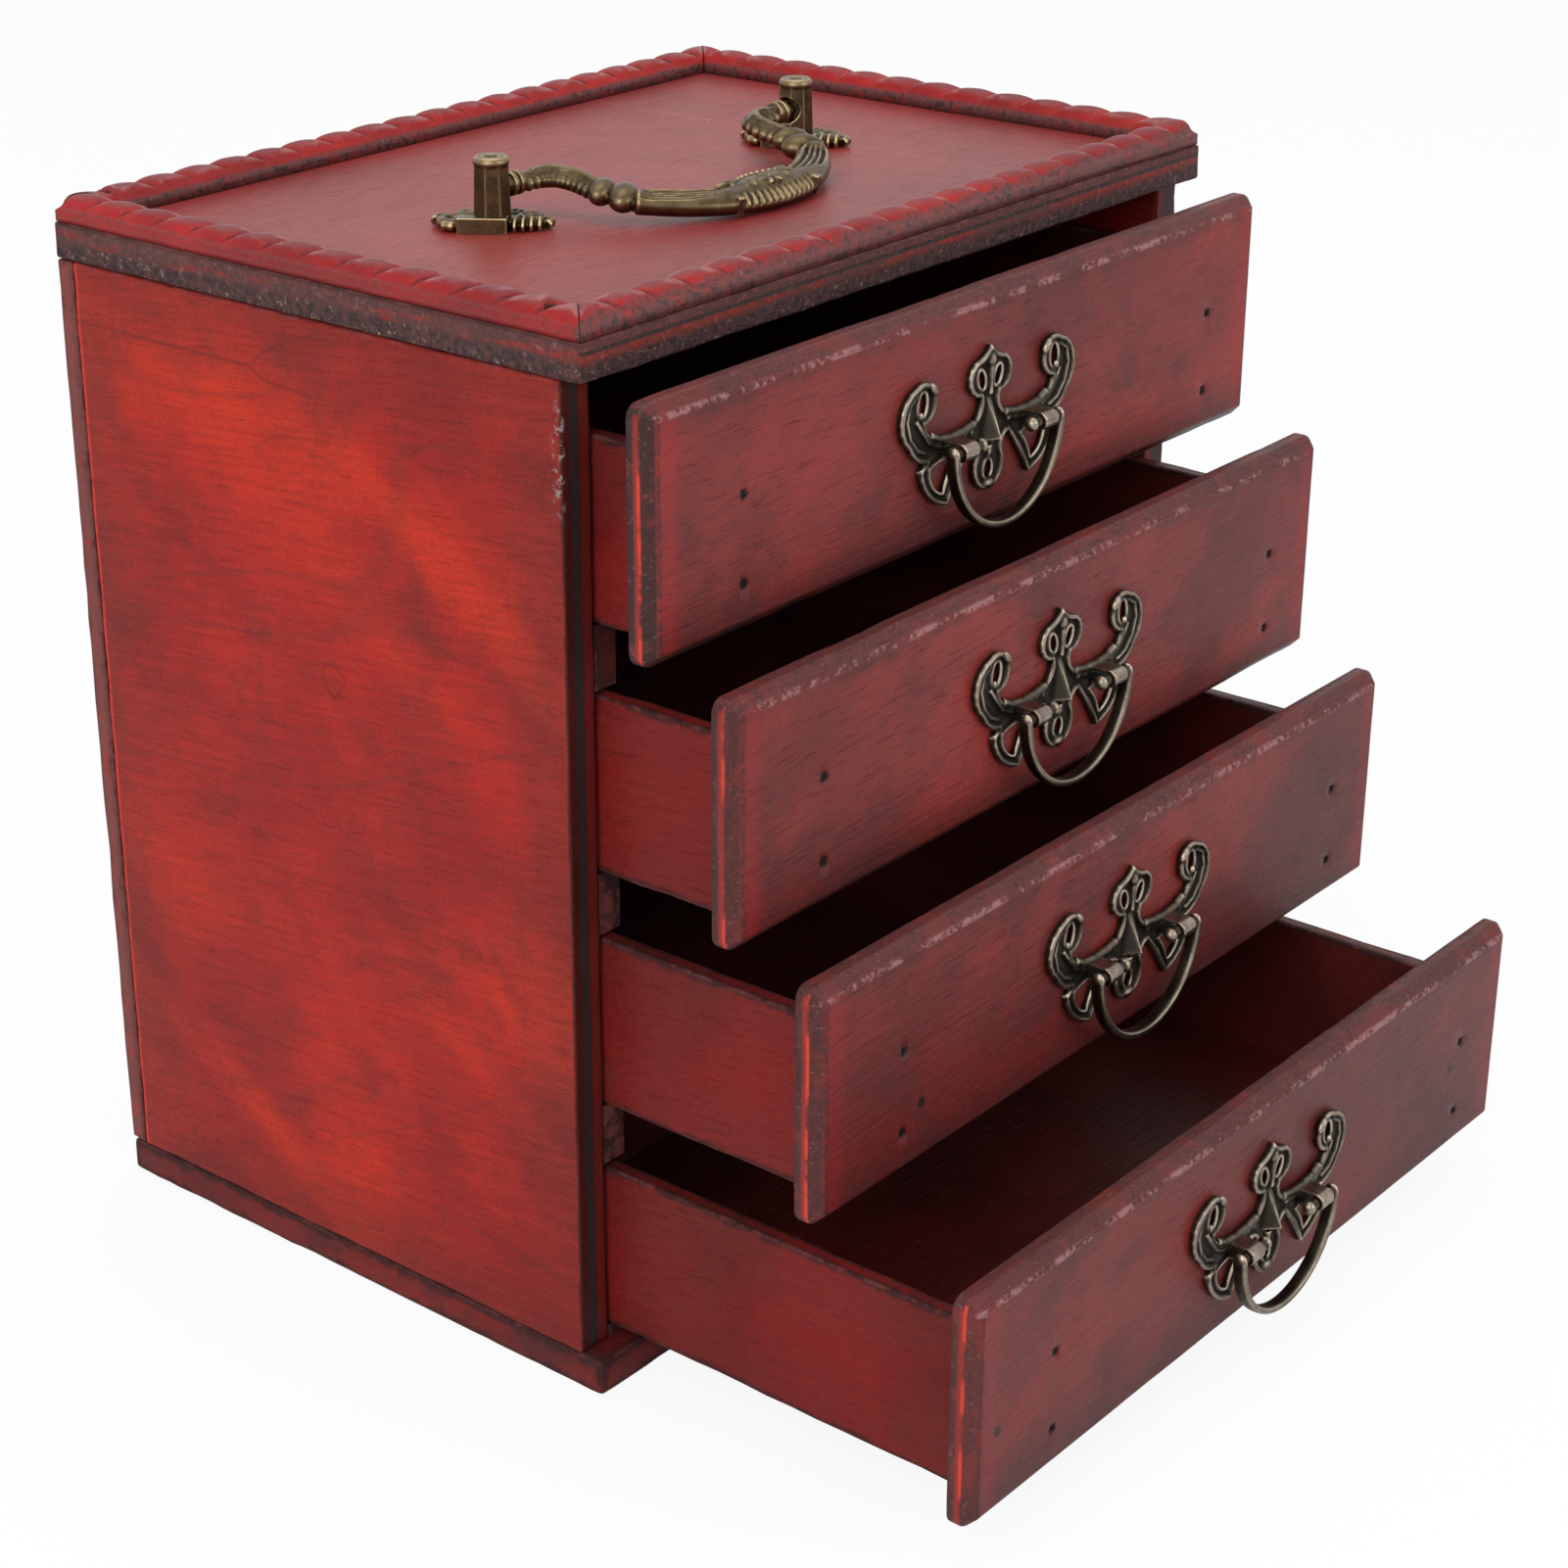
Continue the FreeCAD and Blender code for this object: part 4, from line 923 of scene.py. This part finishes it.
def melt(name, bm, voxel=CAST_VOXEL, rounds=3, span=0.7):
    """Melts overlapping closed forms into one soft-edged casting, still in millimetres."""
    rough = bpy.data.objects.new(name, to_mesh(name, bm))
    bpy.context.scene.collection.objects.link(rough)
    remesh = rough.modifiers.new("Melt", "REMESH")
    remesh.mode = "VOXEL"
    remesh.voxel_size = voxel
    soften = rough.modifiers.new("Soften", "SMOOTH")
    soften.factor = 0.5
    soften.iterations = rounds
    solid = bpy.data.meshes.new_from_object(rough.evaluated_get(bpy.context.evaluated_depsgraph_get()))
    bpy.data.objects.remove(rough)
    return mark_relief(solid, span)


def placed(mesh, name, place, turn=None):
    """A copy of a casting, brought to metres and to its place."""
    copy = mesh.copy()
    copy.name = name
    copy.transform(Matrix.Translation(place) @ (turn or Matrix.Identity(4)) @ Matrix.Scale(MM, 4))
    return copy


def add_casting(name, mesh, material, place, turn=None, suffix="_casting"):
    """Shows a brass casting in place of its CAD node."""
    add_piece(name + suffix, placed(mesh, name, place, turn), material, [name])


def inset_run(points, amount):
    """A closed run of points moved inwards, whichever way it runs."""
    count = len(points)
    pairs = zip(points, points[1:] + points[:1])
    area = sum(x * next_z - next_x * z for (x, z), (next_x, next_z) in pairs)
    way = 1.0 if area > 0 else -1.0
    moved = []
    for i, (x, z) in enumerate(points):
        (px, pz), (nx, nz) = points[i - 1], points[(i + 1) % count]
        dx, dz = nx - px, nz - pz
        length = math.hypot(dx, dz) or 1.0
        moved.append((x - way * dz / length * amount, z + way * dx / length * amount))
    return moved


def standing(run, depth, side=1):
    """A flat run of points in front of the plate's back, mirrored for the left side."""
    return [(side * x, -depth, z) for x, z in run]


def plate_casting():
    """The plate about its hinge line: x to the right, z up, the face towards -y, in millimetres."""
    right = closed_run(PLATE_HALF)
    outline = right + [PLATE_FOOT] + [(-x, z) for x, z in reversed(right[1:])]
    holes = [oval_of(*LOBE_EYE)]
    for half in (list, mirror_run):
        holes.append(half(closed_run(PLATE_ARCH, 6)))
        holes += [half(oval_of(*eye)) for eye in PLATE_EYES]
    bm = bmesh.new()
    for run in [outline] + holes:
        corners = [bm.verts.new((x, 0, z)) for x, z in run]
        for a, b in zip(corners, corners[1:] + corners[:1]):
            bm.edges.new((a, b))
    bmesh.ops.triangle_fill(bm, edges=bm.edges, use_beauty=True)
    sheet = bmesh.ops.extrude_face_region(bm, geom=bm.faces[:])["geom"]
    bmesh.ops.translate(bm, vec=(0, -PLATE_SHEET, 0), verts=points_of(sheet))
    add_tube(bm, standing(inset_run(outline, 0.45), 0.95), 0.52, closed=True)
    for run in holes:
        add_tube(bm, standing(inset_run(run, -0.3), 0.8), 0.38, closed=True)
    nose = [bm.verts.new((x, -0.4, z)) for x, z in NOSE_BASE] + [bm.verts.new(NOSE_TIP)]
    bmesh.ops.convex_hull(bm, input=nose)
    crest = [(0, -1.05, 13.6), (0, -1.15, 11.0), (0, -1.1, 8.8), (0, -1.1, 6.4)]
    add_tube(bm, crest, 0.5, radii=[0.7, 1.2, 0.9, 1.0])
    add_ball(bm, (0, -1.0, 12.4), (1.0, 0.95, 1.3))
    add_ball(bm, (0, -1.0, -9.0), (1.5, 0.9, 0.9))
    add_tube(bm, [(0, -0.9, -2.4), (0, -1.0, -3.6), (0, -0.9, -4.8)], 0.6, radii=[1.3, 1.0, 0.6])
    for side in (-1, 1):
        add_tube(bm, standing(PLATE_NECK, 0.95, side), 0.45, radii=[0.7, 1, 1, 1, 1.1, 1.1, 0.8])
        for i in range(6):
            x = 5.4 + 1.9 * i
            add_ball(bm, (side * x, -0.95, 1.3 + 0.008 * (x - 9) ** 2), (0.75, 0.7, 0.95), side * 0.3, "Y", 12)
        add_tube(bm, standing(PLATE_BROW, 0.8, side), 0.85)
        add_tube(bm, standing(PLATE_HEAD, 0.9, side), 0.42, radii=[0.7, 1, 1, 1, 1, 0.7])
        add_ball(bm, (side * 19.3, -0.9, 7.1), (0.6, 0.6, 0.7))
        add_ball(bm, (side * 16.2, -1.1, 11.0), (0.8, 0.75, 1.5), side * 0.7)
        add_tube(bm, standing(PLATE_LEG, 0.9, side), 0.4, radii=[0.6, 1, 0.6])
    return melt("pull_plate", bm)


PULL_BRASS = antique_brass("pull_brass", dark=(0.016, 0.013, 0.011), level=0.60)
PLATE_CASTING = plate_casting()
PULL_PLACES = {}
for k in DRAWERS:
    low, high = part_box("drawer_%d_front" % k)
    PULL_PLACES[k] = Vector((0, low.y, (low.z + high.z) / 2 - HINGE_BELOW_MIDDLE))
    add_casting("drawer_%d_pull_plate" % k, PLATE_CASTING, PULL_BRASS, PULL_PLACES[k])


# Clips
# Two straps of thin brass folded round the bail's pins; a prong of each leaf passes through
# the drawer front and is bent outwards behind the box front.

CLIP_BRASS = antique_brass("clip_brass", (0.58, 0.47, 0.39), (0.36, 0.285, 0.235), (0.05, 0.036, 0.030), 0.2)
CLIP_PLACE, CLIP_HALF, CLIP_STRAP = 11.35, 1.85, 0.6
CLIP_PIVOT, CLIP_OUTER, CLIP_BEND = 4.6, 1.62, 5.15
PRONG_WIDTH, PRONG_INNER, PRONG_START, LEAF_START = 1.9, 1.05, 1.2, -0.8
CLIP_BACK = (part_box("drawer_1_pull_clips")[1].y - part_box("drawer_1_front")[0].y) / MM - CLIP_STRAP


def clip_casting():
    """Both straps about the hinge line, in millimetres."""
    bm = bmesh.new()
    bend = [math.pi / 2 + math.pi * i / 14 for i in range(15)]
    for side in (-1, 1):
        run = []
        for radius, order, way in ((CLIP_OUTER, bend, 1), (CLIP_OUTER - CLIP_STRAP, bend[::-1], -1)):
            arc = [(-CLIP_PIVOT + radius * math.cos(a), radius * math.sin(a)) for a in order]
            run += [(LEAF_START, way * radius)] + arc + [(LEAF_START, -way * radius)]
        corners = [bm.verts.new((side * CLIP_PLACE - CLIP_HALF, y, z)) for y, z in run]
        strap = bmesh.ops.extrude_face_region(bm, geom=[bm.faces.new(corners)])["geom"]
        bmesh.ops.translate(bm, vec=(2 * CLIP_HALF, 0, 0), verts=points_of(strap))
        for way in (-1, 1):
            add_block(bm, (side * CLIP_PLACE, (CLIP_BACK - PRONG_START) / 2, way * 1.35),
                      (PRONG_WIDTH, CLIP_BACK + 1.3, 0.62))
            add_block(bm, (side * CLIP_PLACE, CLIP_BACK + CLIP_STRAP / 2, way * (CLIP_BEND + PRONG_INNER) / 2),
                      (PRONG_WIDTH, CLIP_STRAP, CLIP_BEND - PRONG_INNER))
    return melt("pull_clips", bm, 0.13, 8, 1.4)


CLIP_CASTING = clip_casting()
for k in DRAWERS:
    add_casting("drawer_%d_pull_clips" % k, CLIP_CASTING, CLIP_BRASS, PULL_PLACES[k], suffix="_straps")


# Bails
# Half-round drop handles of a flattened section, with rounded ends and inward pins that
# turn in the clips.

BAIL_RADIUS = 14.95
BAIL_PIN = 0.95


def bail_casting():
    """The hanging ring about its hinge line, in millimetres."""
    bm = bmesh.new()
    section = bmesh.ops.create_circle(bm, cap_ends=False, segments=24, radius=1.0)["verts"]
    for v in section:
        v.co.x, v.co.y = (math.copysign(abs(c) ** 0.6, c) for c in v.co.xy)
    bmesh.ops.scale(bm, vec=(0.68, 1.25, 1), verts=section)
    bmesh.ops.translate(bm, vec=(BAIL_RADIUS, 0, 0), verts=section)
    bmesh.ops.spin(bm, geom=bm.verts[:] + bm.edges[:], cent=(0, 0, 0), axis=(0, 1, 0), angle=math.pi, steps=56)
    close_holes(bm)
    for side in (-1, 1):
        add_ball(bm, (side * BAIL_RADIUS, 0, 0.1), (0.78, 1.3, 1.3))
        add_rod(bm, (side * BAIL_RADIUS, 0, 0), (side * 7.0, 0, 0), BAIL_PIN)
        add_ball(bm, (side * 7.3, 0, 0), (1.1, 1.3, 1.3))
    return melt("bail", bm, 0.17, 2, 0.45)


BAIL_CASTING = bail_casting()
BAIL_BRASS = antique_brass("bail_brass", (0.50, 0.41, 0.31), (0.062, 0.050, 0.038))
for k in DRAWERS:
    pivot = PULL_PLACES[k] - Vector((0, CLIP_PIVOT * MM, 0))
    add_casting("drawer_%d_bail" % k, BAIL_CASTING, BAIL_BRASS, pivot)


# Carry handle
# A cast crescent that folds flat: round pins with collars, beaded arms, two rolls at each
# end of a fluted grip, and a raised oval with a small flower in the middle.

HANDLE_TILT = math.radians(9.04)
GRIP_ARC = 34.0
GRIP_DEPTH = 31.0
GRIP_THICKNESS = 4.3
GRIP_WIDTHS = ((0, 9.0), (20, 7.4), (34, 6.8), (44, 6.2), (51, 4.6))
GRIP_END = 51.0
HANDLE_FACE = 36.65
OVAL_FORWARD = 26.4
HANDLE_PIN = 1.5
GRIP_SIDES, GRIP_RINGS = 72, 240
FLUTES, FLUTE_DEPTH, FLUTE_WIDTH = 4, 1.35, 0.12
NOTCH_DEPTH, NOTCH_PITCH, NOTCH_SPAN, NOTCH_START = 1.1, 2.7, 17.5, 0.45
CAST_MERGE = 0.001
ARM_PATH = [(HANDLE_FACE - 2.6, 0), (31, 0), (29.2, -0.2), (27.5, -0.9), (26.1, -2.1), (25.3, -4.0),
            (25.1, -6.2), (25.3, -8.4), (25.6, -10.6)]
ARM_SWELL = [0.95, 0.95, 1.0, 1.05, 1.1, 1.12, 1.15, 1.05, 1.0]
RIDGE_SWELL = [0.7, 0.9, 1.0, 1.1, 1.1, 1.1, 1.0, 0.8]
ARM_BEADS = 11
ARM_ROLLS = ((25.3, 11.2, 20, (3.7, 2.3, 2.25)), (24.1, 15.0, 30, (4.2, 2.8, 2.4)))
OVAL_BEADS, PETALS = 15, 6


def grip_width(angle):
    """Width of the crescent at an angle from straight forward."""
    angle = abs(angle)
    for (a, first), (b, second) in zip(GRIP_WIDTHS, GRIP_WIDTHS[1:]):
        if angle <= b:
            return first + (second - first) * (angle - a) / (b - a)
    return GRIP_WIDTHS[-1][1]


def add_grip(bm):
    """A long bar pressed to the crescent's section: leaf flutes from both ends, a notched edge in front."""
    made = bmesh.ops.create_grid(bm, x_segments=GRIP_RINGS, y_segments=GRIP_SIDES, size=0.5)["verts"]
    for v in made:
        angle = 2 * GRIP_END * v.co.x
        around = 2 * math.pi * (v.co.y + 0.5)
        width = grip_width(angle)
        end = min(1.0, (GRIP_END - abs(angle)) / 3.0 + 0.35)
        across, upward = math.cos(around), max(0.0, math.sin(around))
        groove = 0.0
        for i in range(FLUTES):
            fades = 11.0 + 5.0 * i
            centre = -0.70 + 0.36 * i + 0.30 * max(0.0, abs(angle) - fades) / 30.0
            window = min(1.0, max(0.0, (abs(angle) - fades) / 6.0)) * min(1.0, max(0.0, (49.0 - abs(angle)) / 4.0))
            groove += window * math.exp(-((across - centre) / FLUTE_WIDTH) ** 2)
        notched = abs(angle) < NOTCH_SPAN and across > NOTCH_START
        notch = math.cos(math.pi * angle / NOTCH_PITCH) ** 2 if notched else 0.0
        notch = notch ** 3 * min(1.0, (across - NOTCH_START) / 0.2) * upward ** 0.5
        reach = width / 2 * across * end - 0.5 * notch
        lift = GRIP_THICKNESS / 2 * math.sin(around) * end - FLUTE_DEPTH * groove * upward - NOTCH_DEPTH * notch
        radius = GRIP_ARC - width / 2 + reach
        turn = math.radians(angle)
        v.co = Vector((radius * math.sin(turn), GRIP_ARC - GRIP_DEPTH - radius * math.cos(turn), lift))
    bmesh.ops.remove_doubles(bm, verts=made, dist=CAST_MERGE)
    close_holes(bm)
    for side in (-1, 1):
        turn = math.radians(14.5)
        radius = GRIP_ARC - 7.0
        spot = (side * radius * math.sin(turn), GRIP_ARC - GRIP_DEPTH - radius * math.cos(turn), 1.25)
        add_ball(bm, spot, (2.8, 1.2, 1.0), side * turn, "Z", 20)


def add_arm(bm, side):
    """One arm: pin, collars, a rod with a smooth ridge above and beads along its flanks, and two rolls."""
    add_tube(bm, [(side * x, y, -0.1) for x, y in ARM_PATH], 1.65, radii=ARM_SWELL, sides=6)
    ridge = [(side * x, y, 1.15) for x, y in ARM_PATH[1:]]
    add_tube(bm, ridge, 0.95, radii=RIDGE_SWELL, sides=5)
    for i in range(ARM_BEADS):
        t = min(0.4 + i / (ARM_BEADS - 1) * (len(ARM_PATH) - 2.0), len(ARM_PATH) - 1.01)
        a, b = Vector(ARM_PATH[int(t)]), Vector(ARM_PATH[int(t) + 1])
        spot = a.lerp(b, t - int(t))
        heading = (b - a).normalized()
        flank = Vector((heading.y, -heading.x)) * 1.35
        for way in (-1, 1):
            bead = (side * (spot.x + way * flank.x), spot.y + way * flank.y, -0.35)
            add_ball(bm, bead, (1.05, 1.05, 1.2), segments=12)
    add_rod(bm, (side * (HANDLE_FACE - 3.2), 0, 0), (side * 41.9, 0, 0), HANDLE_PIN)
    for at in (HANDLE_FACE - 0.5, HANDLE_FACE - 2.1):
        add_rod(bm, (side * (at - 0.5), 0, 0), (side * (at + 0.5), 0, 0), 2.1, segments=32)
    for x, forward, turn, size in ARM_ROLLS:
        add_ball(bm, (side * x, -forward, 0), size, -side * math.radians(turn), "Z", 24)


def add_oval(bm):
    """The raised middle: a low oval with a beaded back and a flower between two nubs."""
    add_ball(bm, (0, -OVAL_FORWARD + 0.6, 1.0), (9.6, 3.0, 1.75), segments=40)
    for i in range(OVAL_BEADS):
        angle = math.radians(22 + 136 * i / (OVAL_BEADS - 1))
        spot = (8.6 * math.cos(angle), -OVAL_FORWARD + 3.8 * math.sin(angle), 1.9)
        add_ball(bm, spot, (0.48, 0.48, 0.48), segments=10)
    for i in range(PETALS):
        angle = 2 * math.pi * i / PETALS
        petal = (1.7 * math.cos(angle), -OVAL_FORWARD + 1.2 * math.sin(angle), 2.55)
        add_ball(bm, petal, (1.15, 0.55, 0.42), angle, "Z", 12)
    add_ball(bm, (0, -OVAL_FORWARD, 2.7), (0.75, 0.65, 0.5), segments=14)
    for side in (-1, 1):
        for i in range(3):
            leaf = (side * (4.2 + 1.5 * i), -OVAL_FORWARD + 0.4, 2.4 - 0.3 * i)
            add_ball(bm, leaf, (0.5, 1.7 - 0.4 * i, 0.42), 0.3 * side, "Z", 10)
        add_block(bm, (side * 10.3, -28.75, 0.2), (1.3, 1.5, 3.2), side * math.radians(18.0))


def handle_casting():
    """The whole handle, flat about its hinge line, in millimetres."""
    bm = bmesh.new()
    add_grip(bm)
    for side in (-1, 1):
        add_arm(bm, side)
    add_oval(bm)
    return melt("carry_handle", bm, 0.22, 1, 0.8)


fold = next(j for j in frame["joints"] if j["name"] == "carry_handle_fold")
HANDLE_BRASS = antique_brass("handle_brass", (0.46, 0.34, 0.19), (0.135, 0.095, 0.050), (0.020, 0.013, 0.008))
add_casting("carry_handle", handle_casting(), HANDLE_BRASS, Vector(fold["pos_m"]),
            Matrix.Rotation(HANDLE_TILT, 4, "X"))


# Handle posts and rosettes
# Two faceted posts with dimpled domes, screwed from inside the case through pierced cast
# rosettes; the recess round the pin shows black.

POST_FOOT, POST_HEAD, POST_HEIGHT = 3.45, 3.0, 12.0
POST_SIDES, POST_RINGS, POST_CAP = 96, 72, 0.16
FACET = math.pi / 8
PIN_HEIGHT = 6.5
RECESS_RADIUS, RECESS_DEPTH = 2.4, 1.0
ROSETTE_THICKNESS = 1.8
ROSETTE_VOLUTES = ((-6.6, -0.9, 2.7), (-4.6, 3.2, 2.1), (-0.6, 4.7, 2.0), (3.4, 4.0, 2.0), (6.2, 1.6, 2.5))
ROSETTE_TURNS = {"left": -55.0, "right": -65.0}


def post_casting(side):
    """A post with eight broad facets, a dimpled dome and a recess round the pin."""
    bm = bmesh.new()
    made = bmesh.ops.create_grid(bm, x_segments=POST_SIDES, y_segments=POST_RINGS, size=0.5)["verts"]
    foot = ROSETTE_THICKNESS * 0.6
    for v in made:
        around = 2 * math.pi * (v.co.x + 0.5)
        run = (v.co.y + 0.5) * (1 + POST_CAP)
        up = foot + (POST_HEIGHT - foot) * min(1.0, run)
        close = max(0.0, run - 1.0) / POST_CAP
        radius = POST_FOOT + (POST_HEAD - POST_FOOT) * up / POST_HEIGHT
        shaft = min(1.0, max(0.0, (POST_HEIGHT - 1.1 - up) / 0.5))
        offset = (around + FACET) % (2 * FACET) - FACET
        radius *= 1 - shaft * (1 - math.cos(FACET) / math.cos(offset))
        dome = max(0.0, up - (POST_HEIGHT - 0.9))
        radius -= 0.55 * dome * dome
        radius *= 1 - close
        dip = 0.5 * min(1.0, max(0.0, (1.25 - radius) / 0.4)) if close else 0.0
        v.co = Vector((radius * math.cos(around), radius * math.sin(around), up - dip))
        away = math.hypot(v.co.y, v.co.z - PIN_HEIGHT)
        if v.co.x * side < 0 and away < RECESS_RADIUS:
            v.co.x += side * RECESS_DEPTH * min(1.0, (RECESS_RADIUS - away) / 0.35)
    bmesh.ops.remove_doubles(bm, verts=made, dist=CAST_MERGE)
    close_holes(bm)
    return mark_relief(to_mesh("post", bm), 0.8)


def rosette_casting():
    """The pierced plate: a plain bar, rolled volutes, beaded ribs and curled tips."""
    bm = bmesh.new()
    t = ROSETTE_THICKNESS
    add_block(bm, (-1.1, -4.0, (t + 0.9) / 2), (8.4, 2.6, t + 0.9))
    add_rod(bm, (0, 0, 0), (0, 0, t - 0.1), 4.6, segments=40)
    for x, y, radius in ROSETTE_VOLUTES:
        add_tube(bm, [(a, b, t * 0.6) for a, b in oval_of(x, y, radius - 0.8, radius - 0.8)], 0.95, closed=True)
        add_ball(bm, (x + 0.9, y - 0.4, t * 0.8), (0.9, 0.9, 0.8))
    for i in range(4):
        x = 4.2 + 1.35 * i
        add_ball(bm, (x, -2.5 + 0.2 * i, t * 0.6), (0.55, 2.5 - 0.33 * i, 1.5), 0, "Z", 12)
    add_tube(bm, [(-7.2, 1.2, t * 0.5), (-8.6, 1.9, t * 0.6), (-9.7, 1.2, t * 0.6), (-9.7, 0.0, t * 0.5)], 0.9)
    add_tube(bm, [(7.4, 0.0, t * 0.5), (8.8, 0.5, t * 0.6), (9.9, -0.5, t * 0.6), (9.4, -1.7, t * 0.5)], 0.9)
    add_tube(bm, [(-4.9, -3.2, t * 0.5), (-6.4, -4.3, t * 0.6), (-7.9, -3.8, t * 0.6)], 0.85)
    return melt("rosette", bm, 0.22, 1)


ROSETTE_CASTING = rosette_casting()
for side, name in ((-1, "left"), (1, "right")):
    low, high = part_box("handle_post_" + name)
    foot = Vector(((low.x + high.x) / 2, (low.y + high.y) / 2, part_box("top_board")[1].z))
    add_casting("handle_post_" + name, post_casting(side), HANDLE_BRASS, foot)
    turn = Matrix.Rotation(math.radians(ROSETTE_TURNS[name]), 4, "Z")
    add_casting("handle_rosette_" + name, ROSETTE_CASTING, HANDLE_BRASS, foot, turn)


# Brads and screws
# Plain wire brads, their heads gone nearly black under the stain, and two pan-head screws
# of dull steel that hold the handle posts from inside.

for kind, dark, bright, names in (
        ("stained_brads", (0.012, 0.009, 0.009), (0.045, 0.036, 0.034),
         ["moulding_pins"] + ["drawer_%d_brads" % k for k in DRAWERS]),
        ("dull_steel", (0.10, 0.09, 0.085), (0.32, 0.30, 0.28), ["handle_screws"])):
    paint = new_paint(kind)
    patches = paint.cloud(900.0, 4.0, 0.6)
    paint.feed("Metallic", 1.0)
    paint.feed("Base Color", blend_colour(paint.tree, patches, dark, bright))
    paint.feed("Roughness", patches.ramp(0.3, 0.7, 0.4, 0.65))
    for name in names:
        repaint(frame["nodes"][name].data, paint.material)


# Studio
# A pale floor, a white surround, and soft light from the left and from above the front.

FLOOR_RADIUS = 6.0
FLOOR_GLOW = 0.90
SKY_SEEN, SKY_LIGHT = 1.0, 0.55
LIT_SPOT = Vector((0, -0.03, 0.09))
CAMERA_PLACE = (-0.42443, -0.36928, 0.31583)
CAMERA_LOOK = Vector((0.6970, 0.5955, -0.3993))
CAMERA_ROLL = math.radians(-0.465)
CAMERA_SENSOR, CAMERA_LENS = 36.0, 74.06
CAMERA_SHIFT = (0.0640, -0.0078)

floor_mesh = bpy.data.meshes.new("floor")
bm = bmesh.new()
bmesh.ops.create_circle(bm, cap_ends=True, segments=96, radius=FLOOR_RADIUS)
bm.to_mesh(floor_mesh)
bm.free()
floor = bpy.data.objects.new("studio_floor", floor_mesh)
bpy.context.scene.collection.objects.link(floor)
paint = new_paint("floor_paint")
paint.feed("Base Color", (0.95, 0.95, 0.95))
paint.feed("Roughness", 0.9)
glow = node(paint.tree, "ShaderNodeEmission", {"Color": (1, 1, 1), "Strength": 1.0}).outputs[0]
seen = Value(paint.tree, node(paint.tree, "ShaderNodeLightPath").outputs["Is Camera Ray"])
mixed = node(paint.tree, "ShaderNodeMixShader", {0: seen * FLOOR_GLOW, 1: paint.shader.outputs[0], 2: glow})
feed(paint.tree, paint.tree.nodes["Material Output"].inputs["Surface"], mixed.outputs[0])
repaint(floor_mesh, paint.material)
floor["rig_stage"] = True

world = bpy.data.worlds.new("studio")
bpy.context.scene.world = world
world.use_nodes = True
tree = world.node_tree
rays = node(tree, "ShaderNodeLightPath").outputs
by_camera, glossy, passing = (Value(tree, rays["Is %s Ray" % kind]) for kind in ("Camera", "Glossy", "Transmission"))
sky = tree.nodes["Background"].inputs
feed(tree, sky["Color"], (1, 1, 1))
feed(tree, sky["Strength"], by_camera.most(glossy.most(passing)) * (SKY_SEEN - SKY_LIGHT) + SKY_LIGHT)

for name, place, size, power in (("key_from_left", (-1.1, -0.35, 0.75), (0.9, 0.9), 9.0),
                                 ("fill_from_front", (0.35, -1.3, 0.7), (0.9, 0.7), 5.0),
                                 ("top", (0.1, 0.1, 1.4), (1.0, 1.0), 5.0)):
    data = bpy.data.lights.new(name, "AREA")
    data.shape = "RECTANGLE"
    data.size, data.size_y = size
    data.energy = power
    lamp = bpy.data.objects.new(name, data)
    lamp.location = place
    lamp.rotation_mode = "QUATERNION"
    lamp.rotation_quaternion = (LIT_SPOT - Vector(place)).to_track_quat("-Z", "Y")
    bpy.context.scene.collection.objects.link(lamp)

camera_data = bpy.data.cameras.new("camera")
camera = bpy.data.objects.new("camera", camera_data)
bpy.context.scene.collection.objects.link(camera)
camera.location = CAMERA_PLACE
camera.rotation_mode = "QUATERNION"
camera.rotation_quaternion = CAMERA_LOOK.to_track_quat("-Z", "Y") @ Quaternion((0, 0, 1), CAMERA_ROLL)
camera_data.sensor_width = CAMERA_SENSOR
camera_data.lens = CAMERA_LENS
camera_data.shift_x, camera_data.shift_y = CAMERA_SHIFT
camera_data.clip_start = 0.01
camera_data.clip_end = 50.0
bpy.context.scene.camera = camera
bpy.context.scene.view_settings.view_transform = "Standard"

low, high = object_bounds()
